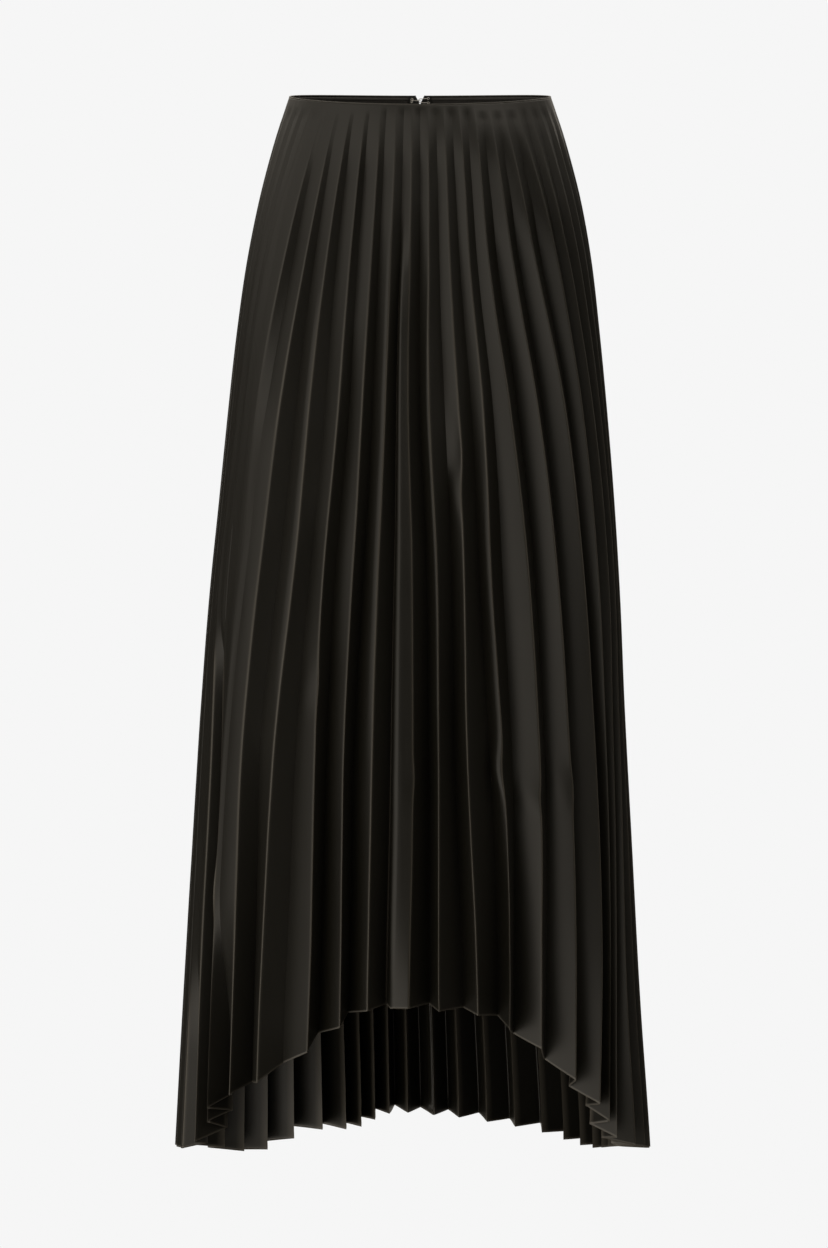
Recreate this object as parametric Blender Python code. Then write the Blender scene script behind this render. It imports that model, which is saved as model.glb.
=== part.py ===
"""Pleated maxi skirt, filled out as if worn: hollow, open at the waist and at the hem.

Metres, +Z up. The origin is the middle of the waist, where the skirt is held up. The front
looks along -Y. Left and right are the wearer's own, so the right side is at -X.
Azimuth is the turn around the skirt in degrees: 0 at the centre front, 90 at the left side
seam, 180 at the centre back and -90 or 270 at the right side seam.
"""
import bmesh
import bpy
import numpy as np

CLOTH = 0.0012                 # thickness of the satin wall
SEAM_GAP = 0.0003              # clearance between pieces that are sewn together
PLEATS_FRONT = 24              # pressed pleats in the front panel
PLEATS_HALF_BACK = 12          # pressed pleats in each half of the back
WAIST_PLEAT = 0.0148           # cloth taken by one pleat at the waist
HEM_PLEAT = 0.0690             # cloth taken by one pleat at the hem
WAIST_LEVEL = -0.005           # height of the waist edge at the sides
WAIST_TILT = 0.011             # the edge is this much lower in front and higher behind
LEAST_DEPTH = 0.34             # a pleat is at least this deep for its pitch, however spread
LEAST_FROM = 0.15              # share of the length from which that holds in full
OPEN_DEPTH = 0.56              # the same over the left thigh, where the pleats stand open
OPEN_FROM = 0.17
OPEN_SPAN = (8.0, 34.0, 66.0, 86.0)  # azimuths: it starts, is full, stops being full, ends
PLEAT_START = 0.020            # share of the length over which a pleat opens below the edge
CALM_SIDE = 0.55               # how much flatter the pleats lie over the hips
CALM_LENGTH = 0.34             # share of the length over which that fades
SMOOTH_SIDE = 0.86             # how much flatter they lie around the right seam
SMOOTH_AT_HIP = (33.0, 44.0)   # angles from that seam within which, and up to which
SMOOTH_AT_HEM = (14.0, 26.0)   # the same at the hem
SMOOTH_LENGTH = (0.36, 0.84)   # shares of the length between which the angles change
FLAT_SPAN = (-63.6, -61.4, -56.5, -50.0)  # azimuths between which two pleats lie flat, in
FLAT_LENGTH = (0.36, 0.50, 0.78, 0.96)  # these shares of the length
LATE_START = 0.10              # share of the length over which side pleats begin later
FRONT_TURN = 0.50              # how far the front folds turn from the outline to the front
TURN_LIMIT = 62.0              # azimuth at which that turn has faded
BACK_SEAM_DRIFT = -5.8         # degrees that the centre back seam swings by at the hem

# The outline of the skirt, one row for each height. The half width is that of the front view,
# the two depths run forwards and backwards from the middle, and the shift is sideways.
SECTIONS = (
    # height, half_width, front_depth, back_depth, shift
    (0.010, 0.1250, 0.0860, 0.0905, 0.0000),
    (-0.016, 0.1340, 0.0905, 0.0955, 0.0000),
    (-0.033, 0.1399, 0.0940, 0.0990, 0.0000),
    (-0.063, 0.1489, 0.0990, 0.1050, 0.0000),
    (-0.102, 0.1590, 0.1045, 0.1130, 0.0000),
    (-0.161, 0.1706, 0.1110, 0.1225, -0.0006),
    (-0.229, 0.1799, 0.1180, 0.1300, -0.0015),
    (-0.299, 0.1877, 0.1260, 0.1365, -0.0020),
    (-0.398, 0.1973, 0.1365, 0.1455, -0.0030),
    (-0.498, 0.2059, 0.1465, 0.1535, -0.0050),
    (-0.600, 0.2125, 0.1555, 0.1610, -0.0068),
    (-0.751, 0.2220, 0.1665, 0.1705, -0.0075),
    (-0.904, 0.2316, 0.1780, 0.1800, -0.0080),
    (-1.038, 0.2407, 0.1875, 0.1890, -0.0070),
    (-1.100, 0.2445, 0.1920, 0.1930, -0.0070),
)

# The front pleats from the right side seam to the left one. Each row gives the azimuth of the
# fold's outer crease at six heights, how far across to it the inner crease lies at the hem
# (0 at the crease before, 1 at its own), how far it stands back there, and its hem's height.
FRONT_HEIGHTS = (-0.15, -0.30, -0.46, -0.64, -0.83, -1.03)
FRONT_FOLDS = (
    # at_150, at_300, at_460, at_640, at_830, at_1030, lean, stand_back, hem
    (-86.0, -86.0, -86.0, -86.0, -86.0, -86.0, 0.50, 0.000, -1.050),
    (-80.0, -80.5, -81.0, -81.0, -80.5, -80.0, 0.50, 0.000, -1.047),
    (-73.5, -75.5, -76.5, -75.5, -74.0, -73.0, 0.50, 0.000, -1.043),
    (-67.0, -70.0, -71.5, -67.5, -66.5, -64.5, 0.50, 0.000, -1.030),
    (-60.0, -64.5, -65.5, -62.0, -61.0, -61.0, 0.50, 0.006, -1.008),
    (-50.0, -56.5, -57.5, -59.8, -59.8, -58.5, 0.50, 0.000, -0.992),
    (-40.0, -45.5, -48.5, -51.0, -50.0, -49.0, 0.12, 0.000, -0.973),
    (-31.5, -34.0, -35.5, -39.0, -40.0, -40.0, 0.25, 0.000, -0.956),
    (-23.0, -24.0, -26.0, -26.0, -25.5, -26.0, 0.40, 0.000, -0.921),
    (-15.7, -16.6, -17.3, -18.0, -17.5, -17.3, 0.12, 0.000, -0.895),
    (-9.4, -9.7, -10.3, -10.5, -10.7, -10.7, 0.14, 0.000, -0.878),
    (-3.2, -3.0, -1.1, 0.0, -0.6, -1.1, 0.43, 0.000, -0.875),
    (2.9, 3.1, 5.7, 6.6, 6.4, 6.8, 0.72, 0.000, -0.878),
    (9.6, 11.7, 13.1, 14.1, 15.8, 16.1, 0.70, 0.000, -0.883),
    (16.1, 19.3, 20.8, 23.9, 24.6, 22.3, 0.80, 0.000, -0.898),
    (22.6, 28.0, 32.4, 34.9, 33.6, 31.5, 0.32, 0.000, -0.920),
    (31.4, 37.9, 42.6, 45.3, 44.9, 41.2, 0.38, 0.000, -0.955),
    (40.4, 49.2, 53.7, 56.4, 55.5, 49.5, 0.38, 0.000, -0.983),
    (51.1, 58.5, 62.0, 63.0, 60.2, 54.3, 0.50, 0.002, -1.003),
    (58.2, 66.0, 70.0, 68.5, 64.5, 58.5, 0.50, 0.004, -1.022),
    (66.0, 72.5, 75.5, 73.5, 69.0, 67.5, 0.50, 0.000, -1.036),
    (73.5, 78.0, 80.0, 79.0, 76.0, 75.5, 0.50, 0.000, -1.044),
    (80.0, 83.0, 84.0, 83.5, 82.0, 82.0, 0.50, 0.000, -1.050),
    (86.5, 87.3, 87.5, 87.3, 87.0, 87.0, 0.50, 0.000, -1.053),
)

# The back pleats from the centre back seam outwards, the same way on both halves: the azimuth
# of the outer crease at the hem counted from the centre back, and the hem's height there.
BACK_FOLDS = (
    # left_azimuth, left_hem, right_azimuth, right_hem
    (9.0, -1.064, -1.9, -1.062),
    (17.0, -1.066, 4.8, -1.059),
    (25.4, -1.070, 9.8, -1.063),
    (34.2, -1.071, 13.9, -1.071),
    (43.4, -1.075, 17.7, -1.077),
    (51.2, -1.077, 24.0, -1.076),
    (58.5, -1.078, 33.0, -1.075),
    (65.0, -1.074, 42.2, -1.088),
    (70.8, -1.069, 52.0, -1.090),
    (76.2, -1.065, 62.2, -1.080),
    (81.8, -1.060, 73.0, -1.068),
    (87.2, -1.056, 84.2, -1.057),
)

# The levels of the solid's rings, as shares of the length from the waist edge to the hem.
LEVELS = (0.0, 0.0057, 0.0185, 0.0245, 0.045, 0.08, 0.12, 0.17, 0.22, 0.28, 0.34, 0.40,
          0.46, 0.52, 0.58, 0.64, 0.70, 0.76, 0.83, 0.90, 0.95, 1.0)

# Half the width of the opening at the centre back, at distances below the waist edge.
NOTCH_DROPS = (0.0, 0.006, 0.0197, 0.0260)
NOTCH_HALF_WIDTHS = (0.0048, 0.0010, 0.0010, 0.00015)

# The band inside the waist: how far it is set in from the outline at drops below the edge.
FACING_DROPS = (0.0, 0.006, 0.017, 0.028)
FACING_SETBACKS = (0.0018, 0.0024, 0.0038, 0.0050)
FACING_THICKNESS = 0.0010
FACING_STEPS = 56

# The zip in the centre back seam.
TAPE_DROPS = (0.0, 0.006, 0.017, 0.024, 0.060, 0.110, 0.160, 0.200)
TAPE_HALF_WIDTH = 0.0110
TAPE_THICKNESS = 0.0010
TAPE_INNER_EDGE = 0.0014       # each tape's edge beside the coil
MITRED_CLOTH = 1.25            # thickness of the wall across a crease, in cloths
COIL_HALF_WIDTH = 0.0011
COIL_INSIDE = 0.0008           # how far the coil stands out of the middle of the tapes
COIL_OUTSIDE = 0.0002
COIL_STOP = 0.004              # the coil ends this far above the end of the tapes
SLIDER_TOP = -0.0032
SLIDER_LENGTH = 0.0080
SLIDER_HALF_WIDTH = 0.0040
SLIDER_PLATE = 0.0016          # thickness of the plate inside
SLIDER_PLAY = 0.0006           # clearance between the tapes and the plate inside
NECK_HALF_WIDTH = 0.00045
BACK_PLATE = 0.0008            # thickness of the plate outside
EAR_OUTER = 0.0029
EAR_INNER = 0.0021
EAR_HEIGHT = 0.0034
KNUCKLE_OUT = 0.0023           # the pull's axis is this far out from the plate's underside
PULL_LENGTH = 0.0210
PULL_STATIONS = (
    # along, half_width, half_thickness
    (-0.0010, 0.0014, 0.00025),
    (-0.00075, 0.0018, 0.00066),
    (-0.0003, 0.0018, 0.00095),
    (0.0003, 0.0018, 0.00095),
    (0.0008, 0.0016, 0.00062),
    (0.0022, 0.0012, 0.00060),
    (0.0060, 0.0014, 0.00060),
    (0.0110, 0.0024, 0.00060),
    (0.0150, 0.0031, 0.00060),
    (0.0180, 0.0030, 0.00060),
    (0.0202, 0.0020, 0.00050),
    (PULL_LENGTH, 0.0008, 0.00040),
)

# The wire hook and eye that close the edge above the zip.
WIRE_RADIUS = 0.0004
HOOK_LEVEL = 0.0010            # height of the hook
HOOK_BEND = 0.0011             # radius of its bend
HOOK_X = -0.0002               # middle of the bend
HOOK_SHANK = (-0.0080, -0.0050)
HOOK_TIP = -0.0030
EYE_RADIUS = 0.0019
EYE_X = 0.0004
EYE_LEGS = (
    # x, spread from the hook's height
    (0.0080, 0.0022),
    (0.0040, 0.0020),
)

MITRE_LIMIT = 0.06             # keeps a wall's mitre finite at the sharpest creases
SEAM_LIMIT = 0.25              # the same at a seam


def curve_through(x, knots, values):
    """Smooth curve through a table's rows: cubic Hermite pieces with mean slopes at the knots."""
    knots = np.asarray(knots, float)
    values = np.asarray(values, float)
    x = np.clip(x, knots[0], knots[-1])
    secants = np.diff(values) / np.diff(knots)
    slopes = np.concatenate([secants[:1], (secants[:-1] + secants[1:]) / 2, secants[-1:]])
    i = np.clip(np.searchsorted(knots, x, side="right") - 1, 0, len(knots) - 2)
    h = knots[i + 1] - knots[i]
    s = (x - knots[i]) / h
    return ((2 * s**3 - 3 * s**2 + 1) * values[i] + (s**3 - 2 * s**2 + s) * h * slopes[i]
            + (3 * s**2 - 2 * s**3) * values[i + 1] + (s**3 - s**2) * h * slopes[i + 1])


def ease(x):
    """Smooth step from 0 to 1."""
    x = np.clip(x, 0.0, 1.0)
    return x * x * (3 - 2 * x)


def window(x, edges):
    """Smooth hump: 0 up to the first edge, 1 from the second to the third, 0 from the last."""
    start, full, until, end = edges
    return ease((x - start) / (full - start)) * ease((end - x) / (end - until))


def outline(height):
    """Half width, front depth, back depth and shift of the outline at each height."""
    rows = np.array(SECTIONS)[::-1]
    return [curve_through(height, rows[:, 0], rows[:, column]) for column in range(1, 5)]


def outline_point(azimuth, height):
    """Point on the outline: half an ellipse in front joined to half an ellipse behind."""
    half_width, front, back, shift = outline(height)
    turn = np.radians(azimuth)
    depth = np.where(np.cos(turn) > 0, front, back)
    return shift + half_width * np.sin(turn), -depth * np.cos(turn)


def outward_angle(azimuth, height):
    """Direction of the outline's normal, in radians from the front."""
    half_width, front, back, _ = outline(height)
    turn = np.radians(azimuth)
    depth = np.where(np.cos(turn) > 0, front, back)
    angle = np.arctan2(depth * np.sin(turn), half_width * np.cos(turn))
    return angle + 2 * np.pi * np.round((turn - angle) / (2 * np.pi))


def waist_height(azimuth):
    """Height of the waist edge: it dips in front and rises behind."""
    return WAIST_LEVEL - WAIST_TILT * np.cos(np.radians(azimuth))


def seam_azimuth(share):
    """Azimuth of the centre back seam at shares of the length: it swings out towards the hem."""
    return 180.0 + BACK_SEAM_DRIFT * (ease(share) + share) / 2


def even_azimuths(count):
    """Azimuths of points spread evenly along a quarter of the waist, half a step in."""
    turn = np.linspace(0, np.pi / 2, 400)
    half_width, front, _, _ = outline(np.full(400, WAIST_LEVEL))
    step = np.hypot(half_width * np.cos(turn), front * np.sin(turn))
    length = np.concatenate([[0], np.cumsum((step[1:] + step[:-1]) / 2 * np.diff(turn))])
    wanted = (np.arange(count) + 0.5) / count * length[-1]
    return np.degrees(np.interp(wanted, length, turn))


def fold_tables():
    """Hem height of the 48 outer creases, and the lean and stand-back of each, from -90 on."""
    front = np.array(FRONT_FOLDS)
    back = np.array(BACK_FOLDS)
    hems = np.concatenate([front[:, 8], back[::-1, 1], back[:, 3]])
    leans = np.concatenate([front[:, 6], np.full(2 * PLEATS_HALF_BACK, 0.5)])
    stand_backs = np.concatenate([front[:, 7], np.zeros(2 * PLEATS_HALF_BACK)])
    return hems, leans, stand_backs


def outer_azimuths(height, share):
    """Azimuth of each outer crease, one column a fold, at the heights and shares of length."""
    quarter = even_azimuths(PLEATS_HALF_BACK)
    start = np.concatenate([-quarter[::-1], quarter])
    columns = []
    for row, at_waist in zip(FRONT_FOLDS, start):
        knots = (WAIST_LEVEL,) + FRONT_HEIGHTS
        values = (at_waist,) + row[:6]
        columns.append(curve_through(height[:, len(columns)], knots[::-1], values[::-1]))
    drift = ease(share) * 0.5 + share * 0.5
    for at_waist, row in zip(quarter[::-1], BACK_FOLDS[::-1]):
        mix = drift[:, len(columns)]
        columns.append(180 - (at_waist * (1 - mix) + row[0] * mix))
    for at_waist, row in zip(quarter, BACK_FOLDS):
        mix = drift[:, len(columns)]
        columns.append(180 + at_waist * (1 - mix) + row[2] * mix)
    return np.stack(columns, axis=1)


def creases(levels):
    """Outer and inner creases as points, one row a level and one column a crease.

    An inner crease lies on the ellipse whose foci are the two outer creases beside it, so the
    two faces that meet there keep the width of the cloth at that level. Where the pleats spread
    nearly flat, a least depth holds instead.
    """
    share = np.asarray(levels, float)[:, None]
    hems, leans, stand_backs = fold_tables()
    count = len(hems)
    azimuth = np.tile(np.linspace(-88, 268, count), (len(levels), 1))
    shares = np.repeat(share, count, axis=1)
    for _ in range(4):
        top = waist_height(azimuth)
        height = top + (hems - top) * shares
        azimuth = outer_azimuths(height, shares)
    x, y = outline_point(azimuth, height)
    away = outward_angle(azimuth, height)
    back_off = stand_backs * shares**2
    outer = np.stack([x - np.sin(away) * back_off, y + np.cos(away) * back_off, height], axis=2)

    before = np.concatenate([azimuth[:, -1:] - 360, azimuth], axis=1)
    after = np.concatenate([azimuth, azimuth[:, :1] + 360], axis=1)
    lean = 0.5 + (np.append(leans, 0.5) - 0.5) * share
    middle = before + (after - before) * lean
    middle[:, :1] = -90.0
    middle[:, count:] = 270.0
    middle[:, PLEATS_FRONT:PLEATS_FRONT + 1] = 90.0
    seam = PLEATS_FRONT + PLEATS_HALF_BACK
    middle[:, seam:seam + 1] = seam_azimuth(share)
    hem = np.append(hems, hems[0])
    hem = (hem + np.append(hems[-1], hems)) / 2
    top = waist_height(middle)
    height = top + (hem - top) * share
    x, y = outline_point(middle, height)
    left = np.concatenate([outer[:, -1:], outer], axis=1)
    right = np.concatenate([outer, outer[:, :1]], axis=1)
    pitch = np.linalg.norm((right - left)[:, :, :2], axis=2)
    width = WAIST_PLEAT + (HEM_PLEAT - WAIST_PLEAT) * share
    depth = np.sqrt(np.maximum(width**2 - pitch**2, 0)) / 2
    depth *= np.sqrt(np.maximum(1 - ((2 * lean - 1) * pitch / width) ** 2, 0.2))
    depth = np.maximum(depth, LEAST_DEPTH * pitch * ease(share / LEAST_FROM))
    opened = window(middle, OPEN_SPAN) * ease(share / OPEN_FROM)
    depth = np.maximum(depth, OPEN_DEPTH * opened * pitch)
    side = np.sin(np.radians(middle))**2
    hips = side * ease(1 - share / CALM_LENGTH)
    from_seam = np.abs((middle + 270.0) % 360.0 - 180.0)
    lower = ease((share - SMOOTH_LENGTH[0]) / (SMOOTH_LENGTH[1] - SMOOTH_LENGTH[0]))
    within, up_to = (at_hip * (1 - lower) + at_hem * lower
                     for at_hip, at_hem in zip(SMOOTH_AT_HIP, SMOOTH_AT_HEM))
    smooth = ease((up_to - from_seam) / (up_to - within))
    flat = window(middle, FLAT_SPAN) * window(share, FLAT_LENGTH)
    smooth = np.maximum(smooth, flat)
    depth *= (1 - CALM_SIDE * hips) * (1 - SMOOTH_SIDE * smooth)
    depth *= ease(share / (PLEAT_START + LATE_START * side))
    turned = np.maximum(1 - (middle / TURN_LIMIT) ** 2, 0) * share
    away = outward_angle(middle, height) * (1 - FRONT_TURN * turned)
    inner = np.stack([x - np.sin(away) * depth, y + np.cos(away) * depth, height], axis=2)
    return outer, inner


def notch(levels, length):
    """Half width of the centre back opening at each level."""
    return np.interp(np.asarray(levels) * length, NOTCH_DROPS, NOTCH_HALF_WIDTHS)


def panel_path(outer, inner, first, last, levels):
    """Points across one panel, from an inner crease at its first seam to one at its last.

    The columns are the creases in turn. A seam's own column is drawn back along its face by half
    the seam's gap, or by half the opening at the centre back.
    """
    opening = notch(levels, back_length())
    centre_back = PLEATS_FRONT + PLEATS_HALF_BACK
    columns = []
    for k in range(first, last):
        start = inner[:, k].copy()
        end = inner[:, k + 1].copy()
        if k == first:
            gap = opening if k == centre_back else np.full(len(levels), SEAM_GAP / 2)
            start = drawn_back(start, outer[:, k], gap)
        if k == last - 1:
            gap = opening if k + 1 == centre_back else np.full(len(levels), SEAM_GAP / 2)
            end = drawn_back(end, outer[:, k], gap)
        columns += [start, outer[:, k]]
    columns.append(end)
    return np.stack(columns, axis=1)


def drawn_back(point, towards, gap):
    """Moves a seam's points towards the next crease, sideways by the gap."""
    step = towards - point
    sideways = np.linalg.norm(step[:, :2], axis=1)
    return point + step * (gap / sideways)[:, None]


def thickened(path, thickness, start_flat, end_flat):
    """Inner side of a wall: each ring moved inwards by the thickness, mitred at its folds.

    The first and last points of a ring move along the direction given for them, which is the
    plane of the seam, so two panels that meet there stay parallel.
    """
    step = np.diff(path[:, :, :2], axis=1)
    step /= np.linalg.norm(step, axis=2, keepdims=True)
    normal = np.stack([-step[:, :, 1], step[:, :, 0]], axis=2)
    move = np.empty_like(path[:, :, :2])
    total = normal[:, 1:] + normal[:, :-1]
    scale = 1 + np.sum(normal[:, 1:] * normal[:, :-1], axis=2, keepdims=True)
    move[:, 1:-1] = total / np.maximum(scale, MITRE_LIMIT)
    for end, flat in ((0, start_flat), (-1, end_flat)):
        across = np.sum(normal[:, end] * flat, axis=1, keepdims=True)
        move[:, end] = flat / np.maximum(across, SEAM_LIMIT)
    inner = path.copy()
    inner[:, :, :2] += move * thickness
    return inner


def seam_direction(azimuth, height):
    """Unit vectors that point inwards in the plane of a seam, one for each height."""
    away = outward_angle(azimuth, height)
    return np.stack([-np.sin(away), np.cos(away)], axis=1)


def solid_between(name, outside, inside, material):
    """Closed solid between two grids of points, the first on its outer side."""
    rows, columns = outside.shape[:2]
    vertices = np.concatenate([outside.reshape(-1, 3), inside.reshape(-1, 3)])
    index = np.arange(rows * columns).reshape(rows, columns)
    far = index + rows * columns

    def quads(a, b, c, d):
        return np.stack([a.ravel(), b.ravel(), c.ravel(), d.ravel()], axis=1)

    faces = [
        quads(index[1:, :-1], index[1:, 1:], index[:-1, 1:], index[:-1, :-1]),
        quads(far[:-1, 1:], far[1:, 1:], far[1:, :-1], far[:-1, :-1]),
        quads(index[0, :-1], index[0, 1:], far[0, 1:], far[0, :-1]),
        quads(far[-1, :-1], far[-1, 1:], index[-1, 1:], index[-1, :-1]),
        quads(index[1:, 0], index[:-1, 0], far[:-1, 0], far[1:, 0]),
        quads(far[1:, -1], far[:-1, -1], index[:-1, -1], index[1:, -1]),
    ]
    mesh = bpy.data.meshes.new(name)
    mesh.from_pydata(vertices.tolist(), [], np.concatenate(faces).tolist())
    return finished(name, mesh, material)


def finished(name, mesh, material):
    """Puts a mesh into the scene as an object with its material and its faces turned out."""
    work = bmesh.new()
    work.from_mesh(mesh)
    bmesh.ops.triangulate(work, faces=work.faces[:], quad_method="FIXED")
    bmesh.ops.recalc_face_normals(work, faces=work.faces[:])
    work.to_mesh(mesh)
    work.free()
    mesh.materials.append(material)
    item = bpy.data.objects.new(name, mesh)
    bpy.context.scene.collection.objects.link(item)
    return item


def extruded(name, points, direction, material):
    """Closed prism: an outline, counter-clockwise seen against the direction, moved along it."""
    near = np.asarray(points, float)
    far = near + np.asarray(direction, float)
    count = len(near)
    faces = [list(range(count))[::-1], list(range(count, 2 * count))]
    for i in range(count):
        j = (i + 1) % count
        faces.append([i, j, j + count, i + count])
    mesh = bpy.data.meshes.new(name)
    mesh.from_pydata(np.concatenate([near, far]).tolist(), [], faces)
    return finished(name, mesh, material)


def lofted(name, rings, material):
    """Closed body through rings that have the same number of points, its ends filled."""
    rings = np.asarray(rings, float)
    count, around = rings.shape[:2]
    faces = [list(range(around))[::-1], list(range((count - 1) * around, count * around))]
    for ring in range(count - 1):
        for i in range(around):
            j = (i + 1) % around
            low = ring * around
            faces.append([low + i, low + j, low + around + j, low + around + i])
    mesh = bpy.data.meshes.new(name)
    mesh.from_pydata(rings.reshape(-1, 3).tolist(), [], faces)
    return finished(name, mesh, material)


def material(name, colour, roughness, metallic=0.0):
    """Principled material of one plain colour."""
    item = bpy.data.materials.new(name)
    item.use_nodes = True
    shader = item.node_tree.nodes["Principled BSDF"]
    shader.inputs["Base Color"].default_value = (*colour, 1.0)
    shader.inputs["Roughness"].default_value = roughness
    shader.inputs["Metallic"].default_value = metallic
    item.diffuse_color = (*colour, 1.0)
    return item


def pleated_panels(satin):
    """The front and the two halves of the back, each a pleated wall between two seams."""
    levels = np.array(LEVELS)
    outer, inner = creases(levels)
    centre_back = PLEATS_FRONT + PLEATS_HALF_BACK
    whole = PLEATS_FRONT + 2 * PLEATS_HALF_BACK
    spans = (("front", 0, PLEATS_FRONT), ("back_left", PLEATS_FRONT, centre_back),
             ("back_right", centre_back, whole))
    for name, first, last in spans:
        path = panel_path(outer, inner, first, last, levels)
        ends = []
        for k in (first, last):
            azimuth = np.full(len(levels), -90.0 + 180.0 * k / PLEATS_FRONT)
            if k == centre_back:
                azimuth = seam_azimuth(levels)
            ends.append(seam_direction(azimuth, inner[:, k, 2]))
        solid_between(name, path, thickened(path, CLOTH, *ends), satin)


def band_inside(name, azimuths, drops, setbacks, thickness, cloth):
    """Smooth band inside the skirt: the outline moved in by a setback at each drop."""
    azimuths = np.asarray(azimuths, float)
    drops = np.asarray(drops, float)[:, None]
    setbacks = np.asarray(setbacks, float)[:, None]
    height = waist_height(azimuths)[None, :] - drops
    turn = np.broadcast_to(azimuths, height.shape)
    x, y = outline_point(turn, height)
    away = outward_angle(turn, height)
    sides = [np.stack([x - np.sin(away) * depth, y + np.cos(away) * depth, height], axis=2)
             for depth in (setbacks, setbacks + thickness)]
    return solid_between(name, sides[0], sides[1], cloth)


def waist_facing(cloth):
    """Band inside the waist edge, open at the centre back where the tapes of the zip lie."""
    half_width = outline(WAIST_LEVEL)[0]
    end = np.degrees((TAPE_HALF_WIDTH + 2 * SEAM_GAP) / half_width)
    azimuths = np.linspace(-180 + end, 180 - end, FACING_STEPS + 1)
    band_inside("waist_facing", azimuths, FACING_DROPS, FACING_SETBACKS, FACING_THICKNESS, cloth)


def back_length():
    """Length of the centre back, from the waist edge to the hem."""
    return waist_height(180.0) - BACK_FOLDS[0][1]


def back_edge(height):
    """How far back the outline is at the centre back."""
    return outline_point(180.0, height)[1]


def tape_setback(drops):
    """Distance from the outline to the zip's tape: past the inner creases beside the seam."""
    levels = np.clip(drops / back_length(), 0, 1)
    _, inner = creases(levels)
    seam = PLEATS_FRONT + PLEATS_HALF_BACK
    near = inner[:, seam - 1:seam + 2]
    deepest = np.max(back_edge(near[:, :, 2]) - near[:, :, 1], axis=1)
    return deepest + CLOTH * MITRED_CLOTH + SEAM_GAP


def zip_tapes(cloth):
    """The two tapes of the zip, left and right of the coil."""
    drops = np.array(TAPE_DROPS)
    setback = tape_setback(drops)[:, None]
    near_edge = np.maximum(np.interp(drops, NOTCH_DROPS, NOTCH_HALF_WIDTHS), TAPE_INNER_EDGE)
    across = np.linspace(near_edge, TAPE_HALF_WIDTH, 3, axis=1)
    height = np.repeat((waist_height(180.0) - drops)[:, None], 3, axis=1)
    half_width = outline(height)[0]
    centre = seam_azimuth(drops / back_length())[:, None]
    for name, sign in (("zip_tape_left", -1), ("zip_tape_right", 1)):
        x, y = outline_point(centre + sign * np.degrees(across / half_width), height)
        sides = [np.stack([x, y - depth, height], axis=2)
                 for depth in (setback, setback + TAPE_THICKNESS)]
        solid_between(name, sides[0], sides[1], cloth)


def zip_coil(plastic):
    """The closed coil below the slider, one plain strip between the tapes."""
    top = waist_height(180.0)
    first = top - SLIDER_TOP + SLIDER_LENGTH + SEAM_GAP
    drops = np.array([first, *(drop for drop in TAPE_DROPS if drop > first)])
    drops[-1] -= COIL_STOP
    height = top - drops
    centre, edge = outline_point(seam_azimuth(drops / back_length()), height)
    middle = edge - tape_setback(drops) - TAPE_THICKNESS / 2
    rings = [[(x - COIL_HALF_WIDTH, y - COIL_INSIDE, z), (x + COIL_HALF_WIDTH, y - COIL_INSIDE, z),
              (x + COIL_HALF_WIDTH, y + COIL_OUTSIDE, z), (x - COIL_HALF_WIDTH, y + COIL_OUTSIDE, z)]
             for x, y, z in zip(centre, middle, height)]
    lofted("zip_coil", rings, plastic)


def zip_slider(metal):
    """Slider: a plate inside, a neck through the opening and a plate with two ears outside."""
    low = SLIDER_TOP - SLIDER_LENGTH
    tape = back_edge(low) - tape_setback(np.array([waist_height(180.0) - low]))[0]
    inside = tape - TAPE_THICKNESS - SLIDER_PLAY
    back = slider_back()
    profile = [(SLIDER_HALF_WIDTH, inside - SLIDER_PLATE), (SLIDER_HALF_WIDTH, inside),
               (NECK_HALF_WIDTH, inside), (NECK_HALF_WIDTH, back), (EAR_OUTER, back),
               (EAR_OUTER, back + EAR_HEIGHT), (EAR_INNER, back + EAR_HEIGHT),
               (EAR_INNER, back + BACK_PLATE)]
    profile += [(-x, y) for x, y in profile[::-1]]
    extruded("zip_slider", [(x, y, low) for x, y in profile], (0, 0, SLIDER_LENGTH), metal)


def slider_back():
    """Where the slider's outer plate starts, just clear of the skirt under it."""
    return back_edge(SLIDER_TOP - SLIDER_LENGTH - EAR_HEIGHT) + SEAM_GAP


def zip_pull(metal):
    """Pull tab with its knuckle on the axis between the ears. It hangs along the skirt."""
    axis_y = slider_back() + KNUCKLE_OUT
    axis_z = SLIDER_TOP - SLIDER_LENGTH / 2
    slope = np.arctan2(back_edge(axis_z - PULL_LENGTH) - back_edge(axis_z), PULL_LENGTH)
    rings = []
    for along, half_width, half_thick in PULL_STATIONS:
        y = axis_y + along * np.sin(slope)
        z = axis_z - along * np.cos(slope)
        dy = half_thick * np.cos(slope)
        dz = half_thick * np.sin(slope)
        rings.append([(-half_width, y - dy, z - dz), (-half_width, y + dy, z + dz),
                      (half_width, y + dy, z + dz), (half_width, y - dy, z - dz)])
    lofted("zip_pull", rings, metal)


def wire(name, points, square, metal):
    """Round wire, six-sided, through points in one plane. Square is that plane's normal."""
    points = np.asarray(points, float)
    square = np.asarray(square, float)
    tangent = np.gradient(points, axis=0)
    tangent /= np.linalg.norm(tangent, axis=1, keepdims=True)
    other = np.cross(tangent, square)
    turns = np.arange(6)[None, :, None] * np.pi / 3
    rings = points[:, None] + WIRE_RADIUS * (np.cos(turns) * square
                                             + np.sin(turns) * other[:, None])
    lofted(name, rings, metal)


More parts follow.
